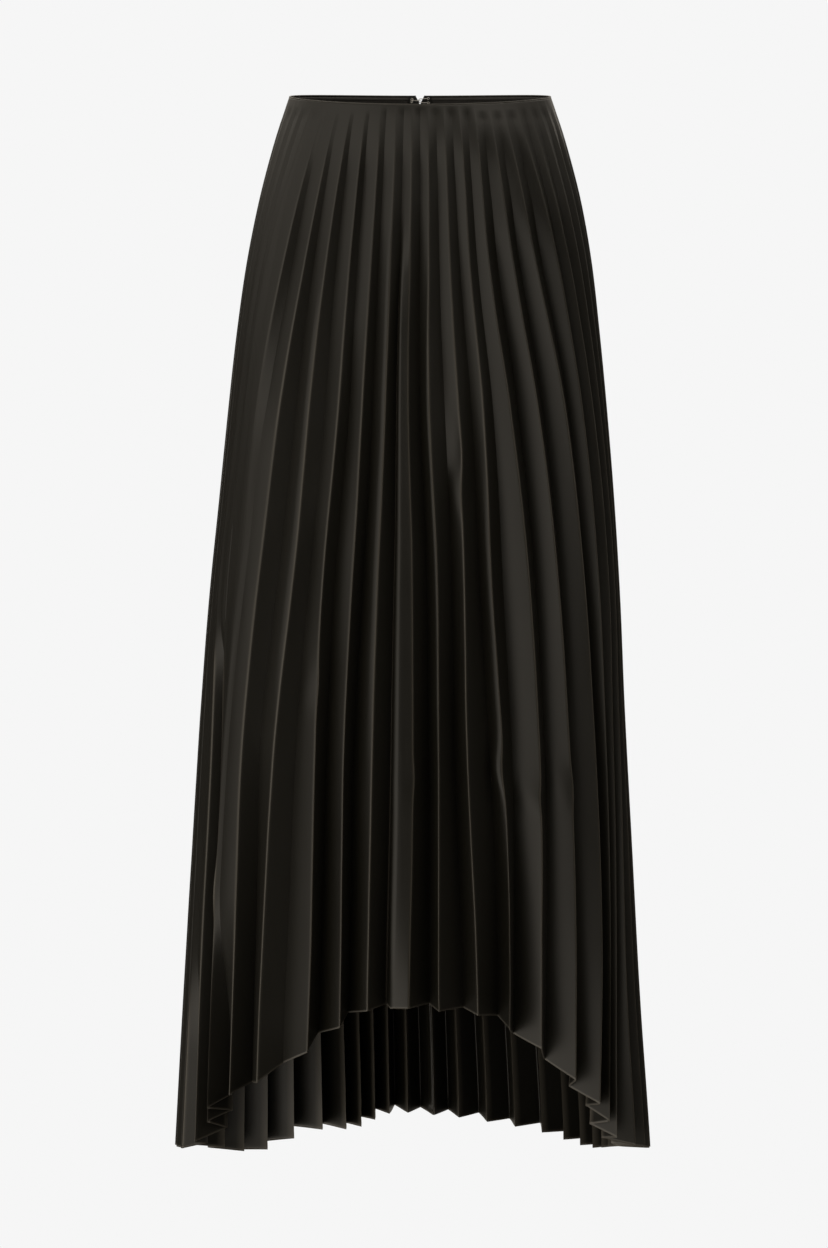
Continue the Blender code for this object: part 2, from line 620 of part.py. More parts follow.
def hook_and_eye(metal):
    """Wire hook on the right half and eye on the left, hooked together inside the notch."""
    drop = waist_height(180.0) - HOOK_LEVEL
    tape = back_edge(HOOK_LEVEL) - tape_setback(np.array([drop]))[0] - TAPE_THICKNESS
    eye_y = tape - WIRE_RADIUS - SEAM_GAP - HOOK_BEND
    turn = np.linspace(-0.5, 0.5, 7) * np.pi
    bend = [(HOOK_X + HOOK_BEND * np.cos(a), eye_y + HOOK_BEND * np.sin(a), HOOK_LEVEL)
            for a in turn]
    shank = [(x, eye_y - HOOK_BEND, HOOK_LEVEL) for x in HOOK_SHANK]
    tip = [(HOOK_TIP, eye_y + HOOK_BEND, HOOK_LEVEL)]
    wire("waist_hook", shank + bend + tip, (0, 0, 1), metal)

    arc = np.linspace(0.5, 1.5, 9) * np.pi
    loop = [(EYE_X + EYE_RADIUS * np.cos(a), eye_y, HOOK_LEVEL + EYE_RADIUS * np.sin(a))
            for a in arc]
    legs = [(x, eye_y, spread) for x, spread in EYE_LEGS]
    upper = [(x, y, HOOK_LEVEL + spread) for x, y, spread in legs]
    lower = [(x, y, HOOK_LEVEL - spread) for x, y, spread in legs[::-1]]
    wire("waist_eye", upper + loop + lower, (0, 1, 0), metal)


def main():
    for item in list(bpy.data.objects):
        bpy.data.objects.remove(item, do_unlink=True)
    satin = material("satin", (0.014, 0.012, 0.010), 0.38)
    facing = material("facing", (0.020, 0.018, 0.017), 0.60)
    tape = material("zip_tape", (0.012, 0.012, 0.012), 0.80)
    coil = material("zip_coil", (0.015, 0.015, 0.015), 0.45)
    painted = material("zip_metal", (0.020, 0.019, 0.018), 0.35, 0.6)
    steel = material("wire", (0.55, 0.55, 0.56), 0.30, 1.0)
    pleated_panels(satin)
    waist_facing(facing)
    zip_tapes(tape)
    zip_coil(coil)
    zip_slider(painted)
    zip_pull(painted)
    hook_and_eye(steel)


main()
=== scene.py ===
"""Pleated maxi skirt in black satin: the looks.

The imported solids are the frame. The three pleated panels are made again here as thin shells on
the same creases, with the folds rounded, pressed and uneven as in the cloth, and with a turned hem.
The waist edge, the notch and some valleys differ a little from the solids', to be like the
photograph's. The band inside the waist, the zip's teeth and the hook and eye are made again finely.

Metres, +Z up, front along -Y, the origin in the middle of the waist. Left and right are the
wearer's own, so the right side is at -X. Azimuth turns around the skirt in degrees: 0 at the
centre front, 90 at the left side seam, 180 at the centre back, -90 or 270 at the right seam.
"""
import math

import bpy
import numpy as np
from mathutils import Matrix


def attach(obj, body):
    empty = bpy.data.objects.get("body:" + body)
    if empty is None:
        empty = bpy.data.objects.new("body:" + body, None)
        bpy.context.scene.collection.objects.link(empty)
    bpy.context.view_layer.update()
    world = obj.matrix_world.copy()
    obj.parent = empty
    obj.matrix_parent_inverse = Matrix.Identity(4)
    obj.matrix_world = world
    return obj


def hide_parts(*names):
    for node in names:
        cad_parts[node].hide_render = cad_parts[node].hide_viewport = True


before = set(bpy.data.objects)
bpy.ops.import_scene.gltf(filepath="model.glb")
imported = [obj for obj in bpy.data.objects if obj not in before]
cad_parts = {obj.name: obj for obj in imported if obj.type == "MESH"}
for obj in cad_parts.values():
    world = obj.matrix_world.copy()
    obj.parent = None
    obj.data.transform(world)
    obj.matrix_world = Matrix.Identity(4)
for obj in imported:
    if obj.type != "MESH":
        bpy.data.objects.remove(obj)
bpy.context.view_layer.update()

# The skirt's sizes, most of them as the solids have them.
PLEATS_FRONT = 24              # pressed pleats in the front panel
PLEATS_HALF_BACK = 12          # pressed pleats in each half of the back
PLEATS = PLEATS_FRONT + 2 * PLEATS_HALF_BACK
CENTRE_BACK = PLEATS_FRONT + PLEATS_HALF_BACK
WAIST_PLEAT = 0.0148           # cloth taken by one pleat at the waist
HEM_PLEAT = 0.0690             # cloth taken by one pleat at the hem
WAIST_LEVEL = -0.0045          # height of the waist edge at the sides
WAIST_TILT = 0.010             # the edge is this much lower in front and higher behind
WAIST_RISE = 0.0035            # and this much higher at the sides
LEFT_SEAM = 90.0               # azimuths of the side seams
RIGHT_SEAM = -90.0
FIRST_SPREAD = (-88.0, 268.0)  # azimuths of the first and last fold, before they settle
SETTLING_ROUNDS = 4            # rounds in which the folds' azimuths and heights come to agree
LEAST_SQUARE = 0.2             # least square of what a leaning valley keeps of its depth
LEAST_DEPTH = 0.34             # a pleat is at least this deep for its pitch, however spread
LEAST_FROM = 0.15              # share of the length from which that holds in full
FRONT_LEAST_FROM = 0.08        # the same in front, and the azimuths that are the front
FRONT_SPAN = (-88.0, -72.0, 72.0, 88.0)
OPEN_DEPTH = 0.56              # the same over the left thigh in front, where the pleats stand open
OPEN_FROM = 0.17
OPEN_SPAN = (8.0, 34.0, 66.0, 86.0)  # azimuths where it starts, is full, ends to be full and ends
PLEAT_START = 0.011            # share of the length over which a pleat opens below the edge
CALM_SIDE = 0.55               # how much flatter the pleats lie over the hips
CALM_LENGTH = 0.34             # share of the length over which that fades
SMOOTH_SIDE = 0.95             # how much flatter they lie around the right seam, pulled smooth
SMOOTH_AT_HIP = (33.0, 44.0)   # angles from that seam within which, and up to which, it holds
SMOOTH_AT_HEM = (14.0, 26.0)   # the same at the hem
SMOOTH_LENGTH = (0.32, 0.64)   # shares of the length between which the angles change
FLATS = (
    # where pleats lie flat: azimuths, then shares of the length
    ((-63.6, -61.4, -52.5, -48.5), (0.20, 0.36, 0.78, 0.96)),
    ((-91.0, -90.0, -69.5, -67.0), (0.30, 0.56, 0.80, 0.99)),
)
LATE_START = 0.05              # share of the length over which the pleats at the sides begin
UPPER_LEAN = 0.25              # share of a pitch that valleys lean right over the right hip in front
UPPER_SPAN = (-66.0, -50.0, -20.0, -2.0)
UPPER_LENGTH = 0.35            # share of the length over which that fades
SHALLOW = 0.60                 # how much flatter the pleats begin over the right hip in front
SHALLOW_SPAN = (-70.0, -60.0, -40.0, -24.0)
SHALLOW_LENGTH = 0.17          # share of the length over which that fades
BACK_LEAN = 0.28               # share of a pitch that they lean left in the right half back at the hem
BACK_SPAN = (182.0, 194.0, 246.0, 262.0)
GROOVE = 0.0011                # depth of a pressed valley where the pleats lie flat
GROOVE_START = (0.008, 0.016)  # shares of the length between which it begins
GROOVE_LOSS = 0.7              # share of it that is lost again further down
GROOVE_FADE = (0.14, 0.30)     # shares of the length between which it is lost
FRONT_TURN = 0.50              # how far the front folds turn from the outline to the front
TURN_LIMIT = 62.0              # azimuth at which that turn has faded
BACK_SEAM_DRIFT = -5.8         # degrees that the centre back seam swings by at the hem

SECTIONS = (
    # height, half_width, front_depth, back_depth, shift
    (0.010, 0.1250, 0.0860, 0.0905, 0.0000),
    (-0.016, 0.1340, 0.0905, 0.0955, 0.0000),
    (-0.033, 0.1399, 0.0940, 0.0990, 0.0000),
    (-0.063, 0.1489, 0.0990, 0.1050, 0.0000),
    (-0.102, 0.1590, 0.1045, 0.1130, 0.0000),
    (-0.161, 0.1706, 0.1110, 0.1225, -0.0006),
    (-0.229, 0.1799, 0.1180, 0.1300, -0.0015),
    (-0.299, 0.1877, 0.1260, 0.1365, -0.0020),
    (-0.398, 0.1973, 0.1365, 0.1455, -0.0030),
    (-0.498, 0.2059, 0.1465, 0.1535, -0.0050),
    (-0.600, 0.2125, 0.1555, 0.1610, -0.0068),
    (-0.751, 0.2220, 0.1665, 0.1705, -0.0075),
    (-0.904, 0.2316, 0.1780, 0.1800, -0.0080),
    (-1.038, 0.2407, 0.1875, 0.1890, -0.0070),
    (-1.100, 0.2445, 0.1920, 0.1930, -0.0070),
)

FRONT_HEIGHTS = (-0.15, -0.30, -0.46, -0.64, -0.83, -1.03)
FRONT_FOLDS = (
    # at_150, at_300, at_460, at_640, at_830, at_1030, lean, stand_back, hem
    (-86.0, -86.0, -86.0, -86.0, -86.0, -86.0, 0.50, 0.000, -1.050),
    (-80.0, -80.5, -81.0, -81.0, -80.5, -80.0, 0.50, 0.000, -1.047),
    (-73.5, -75.5, -76.5, -75.5, -74.0, -73.0, 0.50, 0.000, -1.043),
    (-67.0, -70.0, -71.5, -67.5, -66.5, -64.5, 0.50, 0.000, -1.030),
    (-60.0, -64.5, -65.5, -62.0, -61.0, -61.0, 0.50, 0.006, -1.008),
    (-50.0, -56.5, -57.5, -59.8, -59.8, -58.5, 0.50, 0.000, -0.992),
    (-40.0, -45.5, -48.5, -51.0, -50.0, -49.0, 0.12, 0.000, -0.973),
    (-31.5, -34.0, -35.5, -39.0, -40.0, -40.0, 0.25, 0.000, -0.956),
    (-23.0, -24.0, -26.0, -26.0, -25.5, -26.0, 0.40, 0.000, -0.921),
    (-15.7, -16.6, -17.3, -18.0, -17.5, -17.3, 0.12, 0.000, -0.895),
    (-9.4, -9.7, -10.3, -10.5, -10.7, -10.7, 0.14, 0.000, -0.878),
    (-3.2, -3.0, -1.1, 0.0, -0.6, -1.1, 0.43, 0.000, -0.875),
    (2.9, 3.1, 5.7, 6.6, 6.4, 6.8, 0.72, 0.000, -0.878),
    (9.6, 11.7, 13.1, 14.1, 15.8, 16.1, 0.70, 0.000, -0.883),
    (16.1, 19.3, 20.8, 23.9, 24.6, 22.3, 0.80, 0.000, -0.898),
    (22.6, 28.0, 32.4, 34.9, 33.6, 31.5, 0.32, 0.000, -0.920),
    (31.4, 37.9, 42.6, 45.3, 44.9, 41.2, 0.38, 0.000, -0.955),
    (40.4, 49.2, 53.7, 56.4, 55.5, 49.5, 0.38, 0.000, -0.983),
    (51.1, 58.5, 62.0, 63.0, 60.2, 54.3, 0.90, 0.002, -1.003),
    (58.2, 66.0, 70.0, 68.5, 64.5, 58.5, 0.50, 0.004, -1.022),
    (66.0, 72.5, 75.5, 73.5, 69.0, 67.5, 0.50, 0.000, -1.036),
    (73.5, 78.0, 80.0, 79.0, 76.0, 75.5, 0.50, 0.000, -1.044),
    (80.0, 83.0, 84.0, 83.5, 82.0, 82.0, 0.50, 0.000, -1.050),
    (86.5, 87.3, 87.5, 87.3, 87.0, 87.0, 0.50, 0.000, -1.053),
)

BACK_FOLDS = (
    # left_azimuth, left_hem, right_azimuth, right_hem
    (9.0, -1.064, -1.9, -1.062),
    (17.0, -1.066, 4.8, -1.059),
    (25.4, -1.070, 9.8, -1.063),
    (34.2, -1.071, 13.9, -1.071),
    (43.4, -1.075, 17.7, -1.077),
    (51.2, -1.077, 24.0, -1.076),
    (58.5, -1.078, 33.0, -1.075),
    (65.0, -1.074, 42.2, -1.088),
    (70.8, -1.069, 52.0, -1.090),
    (76.2, -1.065, 62.2, -1.080),
    (81.8, -1.060, 73.0, -1.068),
    (87.2, -1.056, 84.2, -1.057),
)

# The notch over the zip: drops below the edge, and half its width there.
NOTCH_DROPS = (0.0, 0.006, 0.0197, 0.0260)
NOTCH_HALF_WIDTHS = (0.0040, 0.0007, 0.0007, 0.0)

# The shell of satin and how its folds are rounded.
SATIN = 0.00045                # thickness of the cloth
HEM_TURN = 0.0070              # height of the turned hem
HEM_CLOTH = 0.00095            # thickness there
MITRE_REACH = 0.0020           # how far from a crease the inner side is mitred
# Places across a face, as shares of the way from its crest to its valley.
STEPS_AT_WAIST = (0.0, 0.05, 0.11, 0.18, 0.27, 0.38, 0.51, 0.65, 0.82, 1.0)
STEPS_AT_HEM = (0.0, 0.014, 0.032, 0.062, 0.13, 0.24, 0.39, 0.57, 0.78, 1.0)
VALLEY_BEND = (0.14, -0.03)    # how much steeper a left and a right face set off at the valley
CREST_BEND = (-0.10, 0.03)     # how much steeper they get towards the crest
UPPER_BEND = 0.25              # share of both bends that holds from the waist to the hips
BEND_LENGTH = (0.24, 0.52)     # shares of the length between which the bends grow
SECOND_AT_WAIST = 0.4          # how far out a second crease stands at the waist, for 1 at the hem
SECOND_CREASES = (
    # fold of the front, place across its left face, how far out at the hem, shares of the length
    (11, 0.22, 0.0205, (0.12, 0.24, 0.86, 1.30)),
    (12, 0.76, 0.0030, (0.20, 0.34, 0.86, 0.98)),
    (14, 0.61, 0.0035, (0.36, 0.50, 0.74, 0.90)),
    (7, 0.76, 0.0030, (0.16, 0.24, 0.50, 0.66)),
    (10, 0.76, 0.0022, (0.10, 0.20, 0.60, 0.80)),
)
CREST_RADIUS = 0.0009          # radius of the pressed edge of a fold
CREST_AT_WAIST = 0.4           # share of it at the waist
CREST_GROWS = 0.3              # share of the length over which it grows
EDGE_GLINT = 0.0008            # distance over which the painted highlight on that edge fades
PRESSED = (0.87, 0.98)         # sines of half the fold's angle between which that painted highlight fades
GLINT_START = 0.03             # share of the length over which that line begins
GLINT_UPPER = 0.3              # how strong it is then
GLINT_GROWS = (0.10, 0.35)     # shares of the length between which it gets its full strength
HEM_GLINT = 0.0014             # height of the painted highlight along the hem
DENTS = (
    # fold of the front, share of the length, half its length, crest sideways, left face out
    (13, 0.385, 0.040, 0.0016, -0.0020),
    (13, 0.425, 0.026, -0.0012, 0.0018),
    (11, 0.745, 0.018, 0.0012, 0.0012),
    (14, 0.720, 0.024, -0.0022, 0.0028),
    (16, 0.700, 0.020, 0.0018, 0.0016),
    (15, 0.735, 0.014, -0.0014, 0.0012),
    (8, 0.610, 0.022, 0.0012, 0.0022),
    (5, 0.780, 0.026, -0.0010, 0.0020),
)
WANDER = 0.0006                # how far a crease strays sideways
SWELL = 0.0008                 # how far a face bows in and out along its length
STRAY_START = 0.05             # share of the length over which both begin
WANDER_WAVES = (3, 6, 11)      # numbers of waves of each down the length
SWELL_WAVES = (2, 4, 7, 12)
WAVE_HEIGHTS = (0.4, 1.0)      # least and greatest height of a wave
WAVE_RATES = (0.85, 1.15)      # and how far its number strays
LEAST_SINE = 0.25              # least sine of half a fold's angle for a mitre
PANELS = (
    # node, its first pleat, the next panel's, rows of the shell, seed, flat size, area
    ("front", 0, PLEATS_FRONT, 100, 3, (1.671, 1.050), 0.975),
    ("back_left", PLEATS_FRONT, CENTRE_BACK, 104, 4, (0.828, 1.080), 0.540),
    ("back_right", CENTRE_BACK, PLEATS, 104, 5, (0.828, 1.100), 0.545),
)

# The waist edge and the band inside it.
EDGE_RADIUS = 0.0008
EDGE_LIFT = 0.0002             # how far the middle of the turned edge is above the panels' tops
EDGE_INSET = 0.8               # share of its radius that it is moved in
EDGE_STEPS = 361               # rings along it, and the sides of a ring
EDGE_SIDES = 10
EDGE_PITCH = 0.0019            # length from ring to ring
EDGE_SHEEN = 0.35              # how much of a pressed edge's painted highlight it takes
COLLAPSED = 0.05               # share of a tube's radius that is left where its end closes
FACING_DROPS = (0.0, 0.006, 0.017, 0.028)
FACING_SETBACKS = (0.0018, 0.0024, 0.0038, 0.0050)
FACING_THICKNESS = 0.0008
FACING_GAP = 0.0116            # half the width that it leaves for the zip
FACING_RIDGE = 0.5             # share of its thickness that the seam's ridge adds
FACING_SEAM = (0.0034, 0.0009)  # drop of that ridge, and how broad it is
FACING_HEM = (0.0235, 0.0012, 0.8)  # drop of the hem's edge, its breadth, its share of the ridge
FACING_WAVE = 0.0003           # height of the slow wave in the band
FACING_WAVES = (5, 9, 16)      # numbers of waves all round
FACING_WAVE_DROP = 0.02        # drop over which they begin
FACING_STITCHES = ((0.0052, 0.0), (0.0222, 0.0001))  # drop of each row, and how far it stands off
FACING_STITCH = (0.0031, 0.0023, 0.00022)  # spacing, length and radius of a stitch
FACING_COLUMNS = 321           # points around the band, and the drops of its rows
FACING_ROWS = (0.0012, 0.0022, 0.0028, 0.0034, 0.0040, 0.0048, 0.008, 0.012, 0.016, 0.020,
               0.0232, 0.0242, 0.0252, 0.0265, 0.0278)

# Inside the centre back seam.
ALLOWANCE_LENGTH = (0.215, 0.9965)  # shares of the length where the seam's allowance begins and ends
ALLOWANCE_ROWS = 120
ALLOWANCE_PLACES = (0.0, 0.004, 0.008, 0.0115)  # places across it
ALLOWANCE_LIFTS = (0.0, 0.0002, 0.0005, 0.0009)  # how far it curls up there
ALLOWANCE_GAP = (0.0010, 0.0006)  # how far it lies off the panel, and how far that strays
ALLOWANCE_WAVES = (4, 9)       # numbers of waves down its length
SEAM_LINE = (0.0012, 0.0013)   # how far the stitches are beside the seam and off it
SEAM_STITCH = (0.0034, 0.0025, 0.00025)  # spacing, length and radius of a stitch

# The zip's coil.
SAME_LEVEL = 0.0002            # corners of the solid coil this close in height are one ring
COIL_ENDS = (0.0008, 0.0004)   # bare lengths below the first tooth and above the last
COIL_INSET = 0.0001            # how far the teeth are set in from the solid coil's middle
TOOTH_PITCH = 0.00135
TOOTH = (0.0027, 0.00052)      # length and radius
TOOTH_SLANT = 0.10
CORE_RADIUS = 0.00048

# The hook and the eye.
WIRE_RADIUS = 0.00038
WIRE_SIDES = 10
ROUND_POINTS = 17              # points on a loop, on the hook's bend and on its shank
BEND_POINTS = 13
SHANK_POINTS = 8
HOOK_LEVEL = 0.0010            # height of the hook
HOOK_BEND = 0.0011             # radius of its bend
HOOK_X = -0.0002               # middle of the bend
HOOK_SHANK = (-0.0074, -0.0006)  # places across where its straight wire begins and ends
HOOK_TIP = (-0.0012, -0.0022, -0.0030)
TIP_CLOSED = 0.9               # distance of the tip from the middle, for 1 at the bend
EYE_RADIUS = 0.0019
EYE_X = 0.0004
EYE_LEGS = ((0.0076, 0.0021), (0.0045, 0.0020), (0.0020, 0.0019))  # across, and off the middle
HOOK_LOOPS = (-0.0082, 0.0011)  # place of the loops for the thread, and off the middle
EYE_LOOPS = (0.0084, 0.0021)
LOOP_RADIUS = 0.0010
LOOP_WIRE = 0.9                # radius of the wire there, for 1 elsewhere

# The camera. Its focal length is in pixels of the photograph, whose height is the sensor's.
SENSOR_HEIGHT = 36.0
FOCAL_PIXELS = 3200.0
PHOTO_HEIGHT = 1248.0
CAMERA_PLACE = (-0.006, -3.1853, -0.2155)
CAMERA_DOWN = 5.5              # degrees that it looks down
FLOOR_LEVEL = -1.130
FLOOR_HALF = 4.0               # half the side of the floor

# The studio's light by direction, in degrees.
SOFTBOXES = (
    # level, azimuths where it starts, is full, ends to be full and ends, elevations likewise
    (0.95, (-6.0, -30.0, -56.0, -116.0), (-60.0, -40.0, 30.0, 70.0)),
    (0.85, (-80.0, -112.0, -166.0, -179.0), (6.0, 24.0, 45.0, 75.0)),
    (1.00, (30.0, -10.0, -100.0, -150.0), (-65.0, -48.0, -30.0, -12.0)),
    (0.08, (60.0, 85.0, 130.0, 160.0), (-15.0, 5.0, 50.0, 75.0)),
    (0.90, (12.0, 50.0, 120.0, 160.0), (20.0, 31.0, 50.0, 75.0)),
    (1.45, (-16.0, 8.0, 48.0, 80.0), (20.0, 31.0, 50.0, 75.0)),
    (0.80, (120.0, 160.0, 181.0, 182.0), (-35.0, -10.0, 40.0, 70.0)),
    (0.80, (-182.0, -181.0, -172.0, -150.0), (-35.0, -10.0, 40.0, 70.0)),
)
OVERHEAD_FROM = (24.0, 48.0)   # elevations between which the light from above begins
OVERHEAD_LIGHT = 0.24
AMBIENT = 0.012
LIGHT_COLOUR = (1.0, 0.92, 0.80)
GROUND_COLOUR = (0.921, 0.921, 0.921)


def curve_through(x, knots, values):
    """Smooth curve through a table's rows: cubic Hermite pieces with mean slopes at the knots."""
    knots = np.asarray(knots, float)
    values = np.asarray(values, float)
    x = np.clip(x, knots[0], knots[-1])
    secants = np.diff(values) / np.diff(knots)
    slopes = np.concatenate([secants[:1], (secants[:-1] + secants[1:]) / 2, secants[-1:]])
    i = np.clip(np.searchsorted(knots, x, side="right") - 1, 0, len(knots) - 2)
    h = knots[i + 1] - knots[i]
    s = (x - knots[i]) / h
    return ((2 * s**3 - 3 * s**2 + 1) * values[i] + (s**3 - 2 * s**2 + s) * h * slopes[i]
            + (3 * s**2 - 2 * s**3) * values[i + 1] + (s**3 - s**2) * h * slopes[i + 1])


def ease(x):
    """Smooth step from 0 to 1."""
    x = np.clip(x, 0.0, 1.0)
    return x * x * (3 - 2 * x)


def fade(x, limits):
    """Smooth step from 0 at the first limit to 1 at the second."""
    return ease((x - limits[0]) / (limits[1] - limits[0]))


def window(x, edges):
    """Smooth hump: 0 up to the first edge, 1 from the second to the third, 0 from the last."""
    return fade(x, edges[:2]) * fade(x, edges[:1:-1])


def grown(low, part):
    """Factor that grows from low to 1 as the part grows from 0 to 1."""
    return low + (1 - low) * part


def running_total(steps, axis=0):
    """Sums of the steps so far along an axis, from 0."""
    return np.insert(np.cumsum(steps, axis=axis), 0, 0.0, axis=axis)


def unit(vectors):
    """Vectors scaled to length 1 along the last axis."""
    return vectors / np.maximum(np.linalg.norm(vectors, axis=-1, keepdims=True), 1e-12)


def outline(height):
    """Half width, front depth, back depth and shift of the outline at each height."""
    rows = np.array(SECTIONS)[::-1]
    return [curve_through(height, rows[:, 0], rows[:, column]) for column in range(1, 5)]


def on_outline(azimuth, height):
    """Point on the outline, half an ellipse in front joined to half an ellipse behind.

    Also gives the direction of the outline's normal, in radians from the front.
    """
    half_width, front, back, shift = outline(height)
    turn = np.radians(azimuth)
    depth = np.where(np.cos(turn) > 0, front, back)
    angle = np.arctan2(depth * np.sin(turn), half_width * np.cos(turn))
    away = angle + 2 * np.pi * np.round((turn - angle) / (2 * np.pi))
    return shift + half_width * np.sin(turn), -depth * np.cos(turn), away


def moved_in(x, y, height, away, distance):
    """Points moved in by a distance, against the direction away."""
    return np.stack([x - np.sin(away) * distance, y + np.cos(away) * distance, height], axis=-1)


def waist_height(azimuth):
    """Height of the waist edge: it dips in front and rises at the sides and behind."""
    turn = np.radians(azimuth)
    return WAIST_LEVEL - WAIST_TILT * np.cos(turn) + WAIST_RISE * np.sin(turn)**2


def drift(share):
    """How far a crease behind has drifted from its azimuth at the waist to that at the hem."""
    return (ease(share) + share) / 2


def even_azimuths(count, samples=400):
    """Azimuths of points spread evenly along a quarter of the waist, half a step in."""
    turn = np.linspace(0, np.pi / 2, samples)
    half_width, front, _, _ = outline(np.full(samples, WAIST_LEVEL))
    pace = np.hypot(half_width * np.cos(turn), front * np.sin(turn))
    length = running_total((pace[1:] + pace[:-1]) / 2 * np.diff(turn))
    wanted = (np.arange(count) + 0.5) / count * length[-1]
    return np.degrees(np.interp(wanted, length, turn))


def fold_tables():
    """Hem height of the 48 outer creases, and the lean and stand-back of each, from -90 on."""
    front = np.array(FRONT_FOLDS)
    back = np.array(BACK_FOLDS)
    hems = np.concatenate([front[:, 8], back[::-1, 1], back[:, 3]])
    leans = np.concatenate([front[:, 6], np.full(2 * PLEATS_HALF_BACK, 0.5)])
    stand_backs = np.concatenate([front[:, 7], np.zeros(2 * PLEATS_HALF_BACK)])
    return hems, leans, stand_backs


def outer_azimuths(height, share):
    """Azimuth of each outer crease, one column a fold, at the heights and shares of length."""
    quarter = even_azimuths(PLEATS_HALF_BACK)
    knots = (WAIST_LEVEL,) + FRONT_HEIGHTS
    columns = []
    for row, at_waist in zip(FRONT_FOLDS, np.concatenate([-quarter[::-1], quarter])):
        values = (at_waist,) + row[:6]
        columns.append(curve_through(height[:, len(columns)], knots[::-1], values[::-1]))
    left = [(-at_waist, -row[0]) for at_waist, row in zip(quarter, BACK_FOLDS)]
    right = [(at_waist, row[2]) for at_waist, row in zip(quarter, BACK_FOLDS)]
    for at_waist, at_hem in left[::-1] + right:
        mix = drift(share[:, len(columns)])
        columns.append(180 + at_waist * (1 - mix) + at_hem * mix)
    return np.stack(columns, axis=1)


def outer_creases(share, hems, stand_backs):
    """Azimuths and points of the outer creases, from an even spread that settles in rounds."""
    shares = np.repeat(share, PLEATS, axis=1)
    azimuth = np.tile(np.linspace(*FIRST_SPREAD, PLEATS), (len(share), 1))
    for _ in range(SETTLING_ROUNDS):
        top = waist_height(azimuth)
        height = top + (hems - top) * shares
        azimuth = outer_azimuths(height, shares)
    x, y, away = on_outline(azimuth, height)
    return azimuth, moved_in(x, y, height, away, stand_backs * shares**2)


def valley_azimuths(share, azimuth, leans):
    """Azimuths of the inner creases, and their leans: at 0.5 one is midway between its folds."""
    before = np.concatenate([azimuth[:, -1:] - 360, azimuth], axis=1)
    after = np.concatenate([azimuth, azimuth[:, :1] + 360], axis=1)
    halfway = (before + after) / 2
    lean = 0.5 + (np.append(leans, 0.5) - 0.5) * share
    lean = lean - UPPER_LEAN * window(halfway, UPPER_SPAN) * ease(1 - share / UPPER_LENGTH)
    lean = lean - BACK_LEAN * window(halfway, BACK_SPAN) * share
    middle = before + (after - before) * lean
    middle[:, :1] = RIGHT_SEAM
    middle[:, PLEATS:] = RIGHT_SEAM + 360
    middle[:, PLEATS_FRONT:PLEATS_FRONT + 1] = LEFT_SEAM
    middle[:, CENTRE_BACK:CENTRE_BACK + 1] = 180 + BACK_SEAM_DRIFT * drift(share)
    return middle, lean


def valley_depths(middle, share, pitch, lean):
    """How deep each inner crease lies behind the line between the two outer ones beside it.

    It lies on the ellipse whose foci are these two, so the two faces that meet there keep the
    width of the cloth at that level. Where the pleats spread nearly flat, a least depth holds
    instead. Over the hips and where the pleats are pulled smooth they are shallower, down to a
    pressed groove.
    """
    width = WAIST_PLEAT + (HEM_PLEAT - WAIST_PLEAT) * share
    depth = np.sqrt(np.maximum(width**2 - pitch**2, 0)) / 2
    depth *= np.sqrt(np.maximum(1 - ((2 * lean - 1) * pitch / width) ** 2, LEAST_SQUARE))
    least_from = LEAST_FROM + (FRONT_LEAST_FROM - LEAST_FROM) * window(middle, FRONT_SPAN)
    depth = np.maximum(depth, LEAST_DEPTH * pitch * ease(share / least_from))
    opened = window(middle, OPEN_SPAN) * ease(share / OPEN_FROM)
    depth = np.maximum(depth, OPEN_DEPTH * opened * pitch)
    side = np.sin(np.radians(middle))**2
    hips = side * ease(1 - share / CALM_LENGTH)
    from_right_seam = np.abs((middle + 270.0) % 360.0 - 180.0)
    lower = fade(share, SMOOTH_LENGTH)
    within, up_to = (at_hip * (1 - lower) + at_hem * lower
                     for at_hip, at_hem in zip(SMOOTH_AT_HIP, SMOOTH_AT_HEM))
    smooth = fade(from_right_seam, (up_to, within))
    for span, length in FLATS:
        smooth = np.maximum(smooth, window(middle, span) * window(share, length))
    shallow = window(middle, SHALLOW_SPAN) * ease(1 - share / SHALLOW_LENGTH)
    depth *= (1 - CALM_SIDE * hips) * (1 - SMOOTH_SIDE * smooth) * (1 - SHALLOW * shallow)
    depth *= ease(share / (PLEAT_START + LATE_START * side))
    groove = GROOVE * fade(share, GROOVE_START) * (1 - GROOVE_LOSS * fade(share, GROOVE_FADE))
    return np.maximum(depth, groove)


def creases(levels):
    """Outer and inner creases as points, one row a level and one column a crease."""
    share = np.asarray(levels, float)[:, None]
    hems, leans, stand_backs = fold_tables()
    azimuth, outer = outer_creases(share, hems, stand_backs)
    middle, lean = valley_azimuths(share, azimuth, leans)
    hem = (np.append(hems, hems[0]) + np.append(hems[-1], hems)) / 2
    top = waist_height(middle)
    height = top + (hem - top) * share
    before = np.concatenate([outer[:, -1:], outer], axis=1)
    after = np.concatenate([outer, outer[:, :1]], axis=1)
    pitch = np.linalg.norm((after - before)[:, :, :2], axis=2)
    depth = valley_depths(middle, share, pitch, lean)
    turned = np.maximum(1 - (middle / TURN_LIMIT) ** 2, 0) * share
    x, y, away = on_outline(middle, height)
    return outer, moved_in(x, y, height, away * (1 - FRONT_TURN * turned), depth)


def back_length():
    """Length of the centre back, from the waist edge to the hem."""
    return waist_height(180.0) - BACK_FOLDS[0][1]


